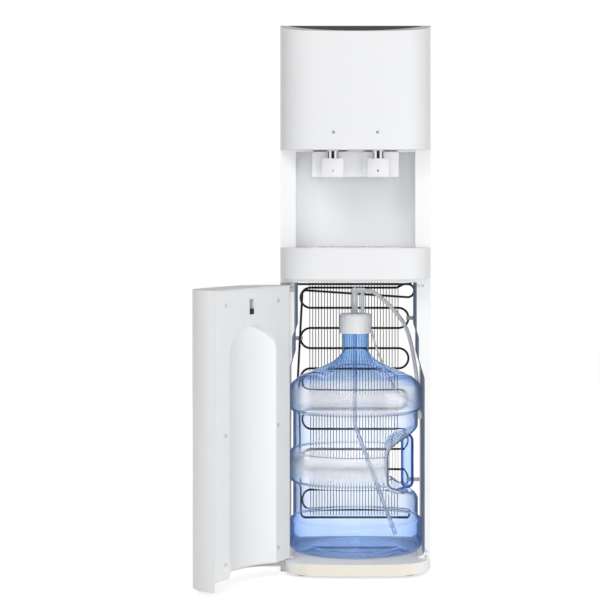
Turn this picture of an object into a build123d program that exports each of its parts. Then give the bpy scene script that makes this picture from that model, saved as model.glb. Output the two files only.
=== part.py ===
"""Bottom load water cooler: bowed cabinet, open door, bottle with its probe, rear condenser.

Millimetres, +Z up, origin on the floor at the centre of the four feet. The door is drawn closed,
in a frame that stands open by DOOR_OPEN about the hinge line.
"""

from build123d import *
import os
from math import atan2, cos, degrees, radians, sin, sqrt, tan

os.makedirs("parts", exist_ok=True)

# ---------------------------------------------------------------- driving dimensions
WIDTH = 300.0
HEIGHT = 1092.0
FRONT = -180.0  # foremost point of the bowed front
REAR = 156.0  # back of the cabinet, which the condenser stands behind
POST_FACE = -94.0  # front plane of the door frame
CORNER_RADIUS = 76.0
FRONT_RADIUS = 880.0
SHEET = 1.0  # steel sheet
WALL = 2.5  # moulded plastic wall
SEAT = 0.3  # gap of loosely seated pieces

BASE_BOTTOM = 6.0
BASE_TOP = 28.0
BASE_INSET = 6.0  # the plinth stands inside the door's skirt
COMPARTMENT_HIGH = 550.5
DECK_THICKNESS = 9.5
TRAY_BAND_HIGH = 60.5  # lower fascia, between the deck and the niche
NICHE_HIGH = 194.0
NICHE_BACK = 6.0
NICHE_CORNER = 45.0
TOP_THICKNESS = 4.0
TOP_DROP = 18.0  # fall of the sloping front of the top cover
DECK_BOTTOM = BASE_TOP + COMPARTMENT_HIGH
DECK_TOP = DECK_BOTTOM + DECK_THICKNESS
NICHE_FLOOR = DECK_TOP + TRAY_BAND_HIGH
NICHE_TOP = NICHE_FLOOR + NICHE_HIGH
NICHE_HALF_WIDTH = WIDTH / 2 - 31.0

# half widths of the compartment's opening, from the cabinet's skin inwards
OPENING_HIGH_HALF = WIDTH / 2 - 27.5
OPENING_STEP_HALF = WIDTH / 2 - 23.0
OPENING_LOW_HALF = WIDTH / 2 - 11.5
OPENING_TOE_RADIUS = 14.0

FOOT_X = WIDTH / 2 - 48.0
FOOT_Y = 120.0
FOOT_RADIUS = 17.0
FOOT_STUD_RADIUS = 4.0

HINGE_EAR = 7.0  # outer radius of the hinges round their pins
HINGE_X = HINGE_EAR - WIDTH / 2
HINGE_Y = POST_FACE - 13.0
DOOR_OPEN = 116.0  # degrees
DOOR_GAP = 4.5  # under the deck
DOOR_BOTTOM = 12.0
DOOR_TOP = DECK_BOTTOM - DOOR_GAP
DOOR_FACE = POST_FACE - 3.0  # inner face of the closed door
DOOR_LINER_BOTTOM = BASE_TOP + 4.0
HINGE_PIN_RADIUS = 3.0
HINGE_PLATE = 2.0

BOTTLE_GAP = 2.5  # each side of the bottle at the foot of the opening
BOTTLE_RADIUS = OPENING_LOW_HALF - BOTTLE_GAP
BOTTLE_Y = 8.0
BOTTLE_WALL = 2.0
BOTTLE_NECK_RADIUS = 26.5
BOTTLE_TOP = 501.0
DOOR_CLEARANCE = 4.0  # between the bottle and the hollow in the door

TAP_X = 45.0
TAP_Y = -118.0
TAP_COLLAR_RADIUS = 12.5
TAP_COLLAR_HIGH = 16.5
PADDLE_WIDTH = 42.0
PADDLE_HIGH = 36.5
PADDLE_TOP = NICHE_TOP - TAP_COLLAR_HIGH - 0.5
PADDLE_BOTTOM = PADDLE_TOP - PADDLE_HIGH

TUBE_RADIUS = 2.4
TUBE_FACETS = 8  # sides of the thin tubes and wires, which repeat many times
COIL_PITCH = 43.05
COIL_ROWS = 12
COIL_LOW = 83.4
COIL_Y = REAR + 14.0
RETURN_Y = REAR + 7.0
WIRE_RADIUS = 0.75
WIRE_COUNT = 31

PANEL_FRONT = POST_FACE + WALL
PANEL_INSIDE = WIDTH / 2 - SHEET
TOP_UNDERSIDE = HEIGHT - TOP_THICKNESS
BOW_CENTRE = FRONT + FRONT_RADIUS
CORNER_X = WIDTH / 2 - CORNER_RADIUS
CORNER_Y = BOW_CENTRE - sqrt((FRONT_RADIUS - CORNER_RADIUS) ** 2 - CORNER_X**2)
JOIN_ANGLE = degrees(atan2(CORNER_Y - BOW_CENTRE, CORNER_X))


def save(piece, name):
    """Label one finished piece and write it."""
    piece.part.label = name
    export_step(piece.part, f"parts/{name}.step")


def bowed_front(inset, back):
    """Closed plan outline, set in from the skin: straight sides, round corners, slightly bowed front."""
    half = WIDTH / 2 - inset
    corner = CORNER_RADIUS - inset
    CenterArc((CORNER_X, CORNER_Y), corner, 0, JOIN_ANGLE)
    CenterArc((0, BOW_CENTRE), FRONT_RADIUS - inset, JOIN_ANGLE, -180 - 2 * JOIN_ANGLE)
    CenterArc((-CORNER_X, CORNER_Y), corner, -180 - JOIN_ANGLE, JOIN_ANGLE)
    Polyline((-half, CORNER_Y), (-half, back), (half, back), (half, CORNER_Y))


def block(x0, x1, y0, y1, z0, z1, mode=Mode.ADD):
    """A box given by its faces."""
    with Locations(((x0 + x1) / 2, (y0 + y1) / 2, (z0 + z1) / 2)):
        Box(x1 - x0, y1 - y0, z1 - z0, mode=mode)


# ---------------------------------------------------------------- plinth and feet
FOOT_BOSS_RADIUS = 11.0
FOOT_STUD_TOP = 20.0
LEDGE_SCREW_X = WIDTH / 2 - 28.0
LEDGE_SCREW_Y = POST_FACE - 14.0
HINGE_NOTCH_RADIUS = 14.0
RIB = 2.0
RIB_BOTTOM = 12.0
PLINTH_SLOT_X = (-94.0, -43.0, 0.0, 43.0, 94.0)
PLINTH_SLOT_LONG = 10.0
PLINTH_SLOT_HIGH = 4.0
PLINTH_SLOT_DEPTH = 1.2
UPRIGHT = (Align.CENTER, Align.CENTER, Align.MIN)


def on_feet(z):
    """The four foot centres at one height."""
    return Locations(*[(x, y, z) for x in (-FOOT_X, FOOT_X) for y in (-FOOT_Y, FOOT_Y)])


with BuildPart() as base_tray:
    with BuildSketch(Plane.XY.offset(BASE_BOTTOM)):
        with BuildLine():
            bowed_front(BASE_INSET, POST_FACE)
        make_face()
        with Locations((0, (POST_FACE + REAR) / 2)):
            Rectangle(2 * PANEL_INSIDE, REAR - POST_FACE)
    extrude(amount=BASE_TOP - BASE_BOTTOM)
    with BuildSketch(Plane.XY.offset(BASE_BOTTOM)):
        with BuildLine():
            bowed_front(BASE_INSET + WALL, PANEL_FRONT)
        make_face()
        with Locations((0, (POST_FACE + REAR) / 2)):
            Rectangle(2 * (PANEL_INSIDE - WALL), REAR - POST_FACE - 2 * WALL)
    extrude(amount=BASE_TOP - BASE_BOTTOM - WALL, mode=Mode.SUBTRACT)
    for rib_x in (-60.0, 0.0, 60.0):
        block(rib_x - RIB / 2, rib_x + RIB / 2, FRONT + 16, REAR - WALL, RIB_BOTTOM, BASE_TOP - WALL)
    for rib_y in (-60.0, 10.0, 80.0):
        block(
            WALL - PANEL_INSIDE,
            PANEL_INSIDE - WALL,
            rib_y - RIB / 2,
            rib_y + RIB / 2,
            RIB_BOTTOM,
            BASE_TOP - WALL,
        )
    with on_feet(BASE_BOTTOM):
        Cylinder(FOOT_BOSS_RADIUS, BASE_TOP - BASE_BOTTOM, align=UPRIGHT)
        Cylinder(FOOT_STUD_RADIUS + 0.08, FOOT_STUD_TOP + 1 - BASE_BOTTOM, align=UPRIGHT, mode=Mode.SUBTRACT)
    with Locations((HINGE_X, HINGE_Y, BASE_BOTTOM)):
        Cylinder(HINGE_NOTCH_RADIUS, 60, mode=Mode.SUBTRACT)
    for screw_x in (-LEDGE_SCREW_X, LEDGE_SCREW_X):
        with Locations((screw_x, LEDGE_SCREW_Y, BASE_TOP)):
            Cylinder(6.0, 14.0, align=(Align.CENTER, Align.CENTER, Align.MAX))
            CounterBoreHole(radius=2.0, counter_bore_radius=4.5, counter_bore_depth=3.0, depth=12.0)
    for slot_x in PLINTH_SLOT_X:
        plinth_face = BOW_CENTRE - sqrt((FRONT_RADIUS - BASE_INSET) ** 2 - slot_x**2)
        with BuildSketch(Plane.XZ.offset(-plinth_face - PLINTH_SLOT_DEPTH)):
            with Locations((slot_x, (BASE_BOTTOM + BASE_TOP) / 2 + 2.0)):
                SlotOverall(PLINTH_SLOT_LONG, PLINTH_SLOT_HIGH)
        extrude(amount=BASE_INSET, mode=Mode.SUBTRACT)
save(base_tray, "base_tray")

with BuildPart() as levelling_feet:
    with on_feet(0):
        Cylinder(FOOT_RADIUS, 4.5, align=UPRIGHT)
        Cylinder(7.0, BASE_BOTTOM, align=UPRIGHT)
        Cylinder(FOOT_STUD_RADIUS, FOOT_STUD_TOP, align=UPRIGHT)
    chamfer(levelling_feet.edges().filter_by(GeomType.CIRCLE).group_by(Axis.Z)[1], 1.0)
save(levelling_feet, "levelling_feet")

# ---------------------------------------------------------------- steel side panels
FRONT_FLANGE = 8.0
REAR_FLANGE = 13.0

with BuildPart() as side_panel_right:
    with BuildSketch(Plane.XY.offset(BASE_BOTTOM)):
        with BuildLine():
            Polyline(
                (PANEL_INSIDE - FRONT_FLANGE, PANEL_FRONT),
                (WIDTH / 2, PANEL_FRONT),
                (WIDTH / 2, REAR),
                (PANEL_INSIDE - REAR_FLANGE, REAR),
                (PANEL_INSIDE - REAR_FLANGE, REAR - SHEET),
                (PANEL_INSIDE, REAR - SHEET),
                (PANEL_INSIDE, PANEL_FRONT + SHEET),
                (PANEL_INSIDE - FRONT_FLANGE, PANEL_FRONT + SHEET),
                close=True,
            )
        make_face()
    extrude(amount=TOP_UNDERSIDE - BASE_BOTTOM)
    block(0, PANEL_INSIDE, POST_FACE, REAR, BASE_BOTTOM, BASE_TOP + WALL, mode=Mode.SUBTRACT)
    block(0, PANEL_INSIDE, POST_FACE, REAR, DECK_BOTTOM, DECK_TOP, mode=Mode.SUBTRACT)
save(side_panel_right, "side_panel_right")

with BuildPart() as side_panel_left:
    add(mirror(side_panel_right.part, about=Plane.YZ))
save(side_panel_left, "side_panel_left")

# ---------------------------------------------------------------- compartment frames and liners
LINER_REAR = REAR - SHEET - 1.0
TOE_CENTRE_X = OPENING_LOW_HALF - OPENING_TOE_RADIUS
TOE_CENTRE_Z = BASE_TOP + 2.0 + OPENING_TOE_RADIUS
# heights at which the wall steps outwards, from the deck down
FLARE_TOP = DECK_BOTTOM - 96.5
FLARE_STEP = DECK_BOTTOM - 110.5
FLARE_KNEE = DECK_BOTTOM - 153.5
FLARE_END = DECK_BOTTOM - 192.5


def compartment_side(grow):
    """Right-hand wall section seen from the front, from the opening's edge to the skin."""
    low = BASE_TOP - 10.0
    Polyline(
        (TOE_CENTRE_X, TOE_CENTRE_Z - OPENING_TOE_RADIUS - grow),
        (TOE_CENTRE_X, low),
        (WIDTH / 2, low),
        (WIDTH / 2, DECK_BOTTOM),
        (OPENING_HIGH_HALF + grow, DECK_BOTTOM),
        (OPENING_HIGH_HALF + grow, FLARE_TOP),
        (OPENING_STEP_HALF + grow, FLARE_STEP),
        (OPENING_STEP_HALF + grow, FLARE_KNEE),
        (OPENING_LOW_HALF + grow, FLARE_END),
        (OPENING_LOW_HALF + grow, TOE_CENTRE_Z),
    )
    CenterArc((TOE_CENTRE_X, TOE_CENTRE_Z), OPENING_TOE_RADIUS + grow, 0, -90)


with BuildPart() as side_liner_right:
    with BuildSketch(Plane.XZ.offset(-POST_FACE)):
        with BuildLine():
            compartment_side(0)
        make_face()
        with Locations((WIDTH / 2, (BASE_TOP + DECK_BOTTOM) / 2)):
            Rectangle(WIDTH, DECK_BOTTOM - BASE_TOP, mode=Mode.INTERSECT)
    extrude(amount=-(LINER_REAR - POST_FACE))
    with BuildSketch(Plane.XZ.offset(-PANEL_FRONT)):
        with BuildLine():
            compartment_side(WALL)
        make_face()
        with Locations((WIDTH / 2, (BASE_TOP + WALL + DECK_BOTTOM) / 2)):
            Rectangle(WIDTH, DECK_BOTTOM - BASE_TOP - WALL, mode=Mode.INTERSECT)
    extrude(amount=-(LINER_REAR - PANEL_FRONT), mode=Mode.SUBTRACT)
    # the floor of the hollow stops at the steel skin
    block(PANEL_INSIDE, WIDTH, PANEL_FRONT, REAR, 0, DECK_BOTTOM, mode=Mode.SUBTRACT)
save(side_liner_right, "side_liner_right")

with BuildPart() as side_liner_left:
    add(mirror(side_liner_right.part, about=Plane.YZ))
save(side_liner_left, "side_liner_left")

# ---------------------------------------------------------------- deck between compartment and works
PIPE_INLET_X = 17.0 - WIDTH / 2
PIPE_INLET_Y = REAR - 10.0
PIPE_OUTLET_X = WIDTH / 2 - 32.0
PIPE_OUTLET_Y = REAR - 15.0
PIPE_HOLE = 4.0

with BuildPart() as mid_deck:
    block(-PANEL_INSIDE, PANEL_INSIDE, PANEL_FRONT, REAR - SHEET, DECK_BOTTOM, DECK_TOP)
    block(
        -PANEL_INSIDE + WALL,
        PANEL_INSIDE - WALL,
        PANEL_FRONT,
        REAR - SHEET - WALL,
        DECK_BOTTOM,
        DECK_TOP - WALL,
        mode=Mode.SUBTRACT,
    )
    block(-WIDTH / 2, WIDTH / 2, POST_FACE, PANEL_FRONT, DECK_BOTTOM, DECK_TOP)
    for rib_x in (-70.0, 0.0, 70.0):
        block(rib_x - RIB / 2, rib_x + RIB / 2, PANEL_FRONT, REAR - SHEET - WALL, DECK_BOTTOM, DECK_TOP - WALL)
    for hole_x, hole_y in ((PIPE_INLET_X, PIPE_INLET_Y), (PIPE_OUTLET_X, PIPE_OUTLET_Y)):
        with Locations((hole_x, hole_y, DECK_TOP)):
            Cylinder(PIPE_HOLE, 60, mode=Mode.SUBTRACT)
save(mid_deck, "mid_deck")

# ---------------------------------------------------------------- top cover and its dark insert
SLOPE_DEPTH = POST_FACE - FRONT
SLOPE_ANGLE = degrees(atan2(TOP_DROP, SLOPE_DEPTH))
INSERT_HALF = WIDTH / 2 - 14.0
INSERT_RIM = 5.0
INSERT_THICKNESS = 2.0
slope_plane = Plane(
    origin=(0, POST_FACE, HEIGHT),
    x_dir=(1, 0, 0),
    z_dir=(0, -sin(radians(SLOPE_ANGLE)), cos(radians(SLOPE_ANGLE))),
)
SLOPE_LENGTH = SLOPE_DEPTH / cos(radians(SLOPE_ANGLE))


def top_profile(rise, low):
    """Side view of what lies under the top surface, moved up by rise and cut at the height low."""
    slope_end = FRONT - 40.0
    fall = (POST_FACE - slope_end) * tan(radians(SLOPE_ANGLE))
    Polyline(
        (REAR + 40.0, HEIGHT + rise),
        (POST_FACE, HEIGHT + rise),
        (slope_end, HEIGHT + rise - fall),
        (slope_end, low),
        (REAR + 40.0, low),
        close=True,
    )


def insert_outline(gap):
    """Lens of the dark insert on the sloping face: a straight back edge and one bowed edge."""
    half = INSERT_HALF - gap
    back = -2.0 - gap
    ThreePointArc((-half, back), (0, -SLOPE_LENGTH + INSERT_RIM + gap), (half, back))
    Line((half, back), (-half, back))


with BuildPart() as top_cover:
    with BuildSketch(Plane.XY.offset(HEIGHT - 60)):
        with BuildLine():
            bowed_front(0, REAR)
        make_face()
    extrude(amount=60)
    with BuildSketch(Plane.YZ):
        with BuildLine():
            top_profile(0, HEIGHT - 60)
        make_face()
    extrude(amount=WIDTH, both=True, mode=Mode.INTERSECT)
    with BuildSketch(Plane.YZ):
        with BuildLine():
            top_profile(-TOP_THICKNESS, HEIGHT - 100)
        make_face()
    extrude(amount=WIDTH, both=True, mode=Mode.SUBTRACT)
    with BuildSketch(slope_plane):
        with BuildLine():
            insert_outline(0)
        make_face()
    extrude(amount=-INSERT_THICKNESS, mode=Mode.SUBTRACT)
save(top_cover, "top_cover")

with BuildPart() as top_insert:
    with BuildSketch(slope_plane.offset(-INSERT_THICKNESS)):
        with BuildLine():
            insert_outline(0.2)
        make_face()
    extrude(amount=INSERT_THICKNESS)
save(top_insert, "top_insert")

# ---------------------------------------------------------------- upper fascia
LAMP_X = 43.0
LAMP_Z = NICHE_TOP + 33.5
LAMP_RADIUS = 3.0
TAP_HOLE_RADIUS = 9.0

with BuildPart() as upper_fascia:
    with BuildSketch(Plane.XY.offset(NICHE_TOP)):
        with BuildLine():
            bowed_front(0, PANEL_FRONT)
        make_face()
    extrude(amount=HEIGHT - NICHE_TOP)
    with BuildSketch(Plane.XY.offset(NICHE_TOP + WALL)):
        with BuildLine():
            bowed_front(WALL, PANEL_FRONT + 40)
        make_face()
    extrude(amount=HEIGHT, mode=Mode.SUBTRACT)
    with BuildSketch(Plane.YZ):
        with BuildLine():
            top_profile(-TOP_THICKNESS, NICHE_TOP - 10)
        make_face()
    extrude(amount=WIDTH, both=True, mode=Mode.INTERSECT)
    with Locations((-TAP_X, TAP_Y, NICHE_TOP), (TAP_X, TAP_Y, NICHE_TOP)):
        Cylinder(TAP_HOLE_RADIUS, 4 * WALL, mode=Mode.SUBTRACT)
    with Locations(Plane.XZ.offset(-FRONT)):
        with Locations((-LAMP_X, LAMP_Z), (LAMP_X, LAMP_Z)):
            Cylinder(LAMP_RADIUS, 20, mode=Mode.SUBTRACT)
save(upper_fascia, "upper_fascia")

# ---------------------------------------------------------------- niche and lower fascia
TRAY_HALF = NICHE_HALF_WIDTH - 27.0
TRAY_FRONT = FRONT + 18.0
TRAY_BACK = NICHE_BACK - 28.0
TRAY_CORNER = 22.0
TRAY_DEPTH = 30.0
TRAY_WALL = 2.0
TRAY_FIT = 0.5


HOUSING_HALF = 86.0  # moulding behind the taps, hanging from the niche's ceiling
HOUSING_FRONT = TAP_Y + 18.0
HOUSING_BACK = TAP_Y + 52.0
HOUSING_BOTTOM = PADDLE_BOTTOM + 1.0
HOUSING_SLOT_HALF = 14.0  # recess between the taps
HOUSING_SLOT_DEPTH = 16.0


def niche_plan(grow):
    """Plan of the dispensing recess, grown by a wall thickness."""
    with Locations((0, (POST_FACE - 60 + NICHE_BACK + grow) / 2)):
        Rectangle(2 * (NICHE_HALF_WIDTH + grow), NICHE_BACK + grow - POST_FACE + 60)


def tray_plan(grow):
    """Plan of the drip tray, grown by a clearance."""
    with Locations((0, (TRAY_FRONT + TRAY_BACK) / 2)):
        RectangleRounded(2 * (TRAY_HALF + grow), TRAY_BACK - TRAY_FRONT + 2 * grow, TRAY_CORNER + grow)


with BuildPart() as niche_liner:
    with BuildSketch(Plane.XY.offset(NICHE_FLOOR)) as niche_outside:
        niche_plan(WALL)
        fillet(niche_outside.vertices().group_by(Axis.Y)[-1], NICHE_CORNER + WALL)
    extrude(amount=NICHE_TOP - NICHE_FLOOR)
    block(-WIDTH, WIDTH, FRONT, PANEL_FRONT, NICHE_FLOOR, NICHE_TOP, mode=Mode.SUBTRACT)
    block(-WIDTH / 2, WIDTH / 2, POST_FACE, PANEL_FRONT, NICHE_FLOOR, NICHE_TOP)
    with BuildSketch(Plane.XY.offset(NICHE_FLOOR)) as niche_inside:
        niche_plan(0)
        fillet(niche_inside.vertices().group_by(Axis.Y)[-1], NICHE_CORNER)
    extrude(amount=NICHE_TOP - NICHE_FLOOR - WALL, mode=Mode.SUBTRACT)
    niche_edges = niche_liner.edges().filter_by(Axis.Z).filter_by_position(
        Axis.Y, POST_FACE - 0.1, POST_FACE + 0.1
    )
    fillet(niche_edges.sort_by(lambda edge: abs(edge.center().X))[0:2], 2.0)
    ceiling = NICHE_TOP - WALL
    block(-HOUSING_HALF, HOUSING_HALF, HOUSING_FRONT, HOUSING_BACK, HOUSING_BOTTOM, ceiling)
    block(
        -HOUSING_SLOT_HALF,
        HOUSING_SLOT_HALF,
        HOUSING_FRONT,
        HOUSING_FRONT + HOUSING_SLOT_DEPTH,
        HOUSING_BOTTOM,
        ceiling,
        mode=Mode.SUBTRACT,
    )
    for low_x, high_x in (
        (WALL - HOUSING_HALF, -HOUSING_SLOT_HALF - WALL),
        (HOUSING_SLOT_HALF + WALL, HOUSING_HALF - WALL),
    ):
        block(
            low_x,
            high_x,
            HOUSING_FRONT + WALL,
            HOUSING_BACK - WALL,
            HOUSING_BOTTOM + WALL,
            NICHE_TOP,
            mode=Mode.SUBTRACT,
        )
save(niche_liner, "niche_liner")

with BuildPart() as lower_fascia:
    with BuildSketch(Plane.XY.offset(DECK_TOP)):
        with BuildLine():
            bowed_front(0, PANEL_FRONT)
        make_face()
    extrude(amount=NICHE_FLOOR - DECK_TOP)
    with BuildSketch(Plane.XY.offset(DECK_TOP + WALL)):
        with BuildLine():
            bowed_front(WALL, PANEL_FRONT + 40)
        make_face()
    extrude(amount=NICHE_FLOOR - DECK_TOP - 2 * WALL, mode=Mode.SUBTRACT)
    # the floor of the niche runs back under its walls
    block(
        -NICHE_HALF_WIDTH - WALL,
        NICHE_HALF_WIDTH + WALL,
        PANEL_FRONT,
        NICHE_BACK + WALL,
        NICHE_FLOOR - WALL,
        NICHE_FLOOR,
    )
    with BuildSketch(Plane.XY.offset(NICHE_FLOOR)):
        tray_plan(TRAY_FIT)
    extrude(amount=-2 * WALL, mode=Mode.SUBTRACT)
save(lower_fascia, "lower_fascia")

RIM_WIDTH = 4.0
RIM_THICKNESS = 1.5
GRILLE_THICKNESS = 2.5
GRILLE_GAP = 0.5
GRILLE_SLOT = 4.0
GRILLE_PITCH = 9.0
GRILLE_BARS = 17
tray_floor = NICHE_FLOOR - TRAY_DEPTH

with BuildPart() as drip_tray:
    with BuildSketch(Plane.XY.offset(tray_floor)):
        tray_plan(0)
    extrude(amount=TRAY_DEPTH)
    with BuildSketch(Plane.XY.offset(NICHE_FLOOR)):
        tray_plan(RIM_WIDTH)
    extrude(amount=RIM_THICKNESS)
    with BuildSketch(Plane.XY.offset(tray_floor + TRAY_WALL)):
        tray_plan(-TRAY_WALL - 3.0)
    extrude(amount=TRAY_DEPTH, mode=Mode.SUBTRACT)
    with BuildSketch(Plane.XY.offset(NICHE_FLOOR - GRILLE_THICKNESS + RIM_THICKNESS)):
        tray_plan(-TRAY_WALL)
    extrude(amount=TRAY_DEPTH, mode=Mode.SUBTRACT)
save(drip_tray, "drip_tray")

with BuildPart() as drip_grille:
    with BuildSketch(Plane.XY.offset(NICHE_FLOOR - GRILLE_THICKNESS + RIM_THICKNESS)):
        tray_plan(-TRAY_WALL - GRILLE_GAP)
    extrude(amount=GRILLE_THICKNESS)
    with BuildSketch(Plane.XY.offset(NICHE_FLOOR + RIM_THICKNESS)):
        with Locations((0, (TRAY_FRONT + TRAY_BACK) / 2)):
            with GridLocations(GRILLE_PITCH, 1, GRILLE_BARS, 1):
                SlotOverall(TRAY_BACK - TRAY_FRONT - 36, GRILLE_SLOT, rotation=90)
    extrude(amount=-2 * GRILLE_THICKNESS, mode=Mode.SUBTRACT)
save(drip_grille, "drip_grille")

# ---------------------------------------------------------------- taps and their paddles
NECK_RADIUS = 8.0
SPOUT_RADIUS = 6.0
PIVOT_Z = PADDLE_TOP - 7.5
PIVOT_RADIUS = 2.0
SPOUT_BOTTOM = PIVOT_Z - 17.0
TAP_STEM_TOP = NICHE_TOP + 29.5
CHEEK = 2.5
PADDLE_FRONT = TAP_Y - 19.0
PADDLE_REAR = TAP_Y + 8.0


def tap_body(x):
    """Chrome collar, neck, spout and the threaded stem through the fascia's underside."""
    with Locations((x, TAP_Y, PADDLE_TOP + 0.5)):
        Cylinder(TAP_COLLAR_RADIUS, NICHE_TOP - PADDLE_TOP - 0.5, align=UPRIGHT)
    with Locations((x, TAP_Y, NICHE_TOP)):
        Cylinder(TAP_HOLE_RADIUS - 0.1, TAP_STEM_TOP - NICHE_TOP, align=UPRIGHT)
    with Locations((x, TAP_Y, PIVOT_Z - 6.0)):
        Cylinder(NECK_RADIUS, PADDLE_TOP + 0.5 - PIVOT_Z + 6.0, align=UPRIGHT)
    with Locations((x, TAP_Y, SPOUT_BOTTOM)):
        Cylinder(SPOUT_RADIUS, PIVOT_Z - SPOUT_BOTTOM, align=UPRIGHT)
    with Locations((x, TAP_Y, SPOUT_BOTTOM)):
        Cylinder(SPOUT_RADIUS - 2.0, 8.0, align=UPRIGHT, mode=Mode.SUBTRACT)
    with Locations(Location((x, TAP_Y, PIVOT_Z), (0, 90, 0))):
        Cylinder(PIVOT_RADIUS, PADDLE_WIDTH - 1.0)


def tap_paddle(x):
    """Bowed push plate with two cheeks that turn on the pivot pin."""
    half = PADDLE_WIDTH / 2
    with BuildSketch(Plane.XY.offset(PADDLE_BOTTOM)) as outside:
        with BuildLine():
            ThreePointArc((x - half, PADDLE_FRONT + 4), (x, PADDLE_FRONT), (x + half, PADDLE_FRONT + 4))
            Polyline(
                (x + half, PADDLE_FRONT + 4),
                (x + half, PADDLE_REAR),
                (x - half, PADDLE_REAR),
                (x - half, PADDLE_FRONT + 4),
            )
        make_face()
    extrude(outside.sketch, amount=PADDLE_TOP - PADDLE_BOTTOM)
    with BuildSketch(Plane.XY.offset(PADDLE_BOTTOM)) as inside:
        with BuildLine():
            ThreePointArc(
                (x - half + CHEEK, PADDLE_FRONT + 6.5),
                (x, PADDLE_FRONT + CHEEK),
                (x + half - CHEEK, PADDLE_FRONT + 6.5),
            )
            Polyline(
                (x + half - CHEEK, PADDLE_FRONT + 6.5),
                (x + half - CHEEK, PADDLE_REAR + 1),
                (x - half + CHEEK, PADDLE_REAR + 1),
                (x - half + CHEEK, PADDLE_FRONT + 6.5),
            )
        make_face()
    extrude(inside.sketch, amount=PADDLE_TOP - PADDLE_BOTTOM, mode=Mode.SUBTRACT)
    # the cheeks are cut away below the pivot
    with BuildSketch(Plane.YZ.offset(x)) as below_pivot:
        with BuildLine():
            Polyline(
                (PADDLE_FRONT + 9, PADDLE_BOTTOM - 1),
                (PADDLE_REAR + 1, PADDLE_BOTTOM - 1),
                (PADDLE_REAR + 1, PIVOT_Z - 6),
                close=True,
            )
        make_face()
    extrude(below_pivot.sketch, amount=PADDLE_WIDTH, both=True, mode=Mode.SUBTRACT)
    with Locations(Location((x, TAP_Y, PIVOT_Z), (0, 90, 0))):
        Cylinder(PIVOT_RADIUS + 0.05, PADDLE_WIDTH + 2, mode=Mode.SUBTRACT)


with BuildPart() as hot_tap_body:
    tap_body(-TAP_X)
save(hot_tap_body, "hot_tap_body")

with BuildPart() as cold_tap_body:
    tap_body(TAP_X)
save(cold_tap_body, "cold_tap_body")

with BuildPart() as hot_paddle:
    tap_paddle(-TAP_X)
save(hot_paddle, "hot_paddle")

with BuildPart() as cold_paddle:
    tap_paddle(TAP_X)
save(cold_paddle, "cold_paddle")

# ---------------------------------------------------------------- door, drawn closed in its own frame
turn = radians(DOOR_OPEN)
DOOR_FRAME = Plane(
    origin=(
        HINGE_X - cos(turn) * HINGE_X - sin(turn) * HINGE_Y,
        HINGE_Y + sin(turn) * HINGE_X - cos(turn) * HINGE_Y,
        0,
    ),
    x_dir=(cos(turn), -sin(turn), 0),
    z_dir=(0, 0, 1),
)
DOOR_ELEVATION = Plane(origin=DOOR_FRAME.origin, x_dir=DOOR_FRAME.x_dir, z_dir=-DOOR_FRAME.y_dir)
DOOR_SKIN = 2.5
DOOR_LINER_SKIN = 2.0
DOOR_SPRING = DOOR_TOP - 125.0  # where the hollow's arch springs
DOOR_ARCH_RISE = 54.0
HOLLOW_RADIUS = BOTTLE_RADIUS + DOOR_CLEARANCE
HOLLOW_HALF = sqrt(HOLLOW_RADIUS**2 - (DOOR_FACE - BOTTLE_Y) ** 2)
LINER_EDGE = WIDTH / 2 - DOOR_SKIN
LINER_FIT = 0.2
LATCH_X = 5.0
LATCH_WIDTH = 19.0
LATCH_HIGH = DOOR_TOP - 21.0
LATCH_LOW = LATCH_HIGH - 30.0
LATCH_DEPTH = 6.0
DOOR_SCREW_X = (50.0 - WIDTH / 2, WIDTH / 2 - 42.0)
DOOR_SCREW_Z = (DOOR_LINER_BOTTOM + 26.0, (DOOR_BOTTOM + DOOR_TOP) / 2 + 7.0, DOOR_TOP - 29.0)
DOOR_SCREW_HEAD = 4.0
HINGE_BOSS = HINGE_EAR
LINER_GROOVE_INSET = 7.0  # line that frames the liner's face
LINER_GROOVE_WIDE = 1.4
LINER_GROOVE_DEEP = 0.8
DOOR_FOOT_X = WIDTH / 2 - 52.0  # small rest at the free lower corner
DOOR_FOOT_Y = DOOR_FACE - 5.0
DOOR_FOOT_RADIUS = 4.0
BUSH_RADIUS = 4.5
BUSH_LENGTH = 14.0


def hollow_arch(grow):
    """Elevation of the arch-topped hollow, open at the bottom."""
    half = HOLLOW_HALF + grow
    Polyline((-half, DOOR_SPRING), (-half, 0), (half, 0), (half, DOOR_SPRING))
    EllipticalCenterArc((0, DOOR_SPRING), half, DOOR_ARCH_RISE + grow, arc_size=180)


def groove_frame(inset):
    """Elevation of the line round the liner's sides and top, open at the bottom."""
    half = LINER_EDGE - LINER_GROOVE_INSET - inset
    top = DOOR_TOP - LINER_GROOVE_INSET - inset
    Polyline((-half, 0), (-half, top), (half, top), (half, 0), close=True)


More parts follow.
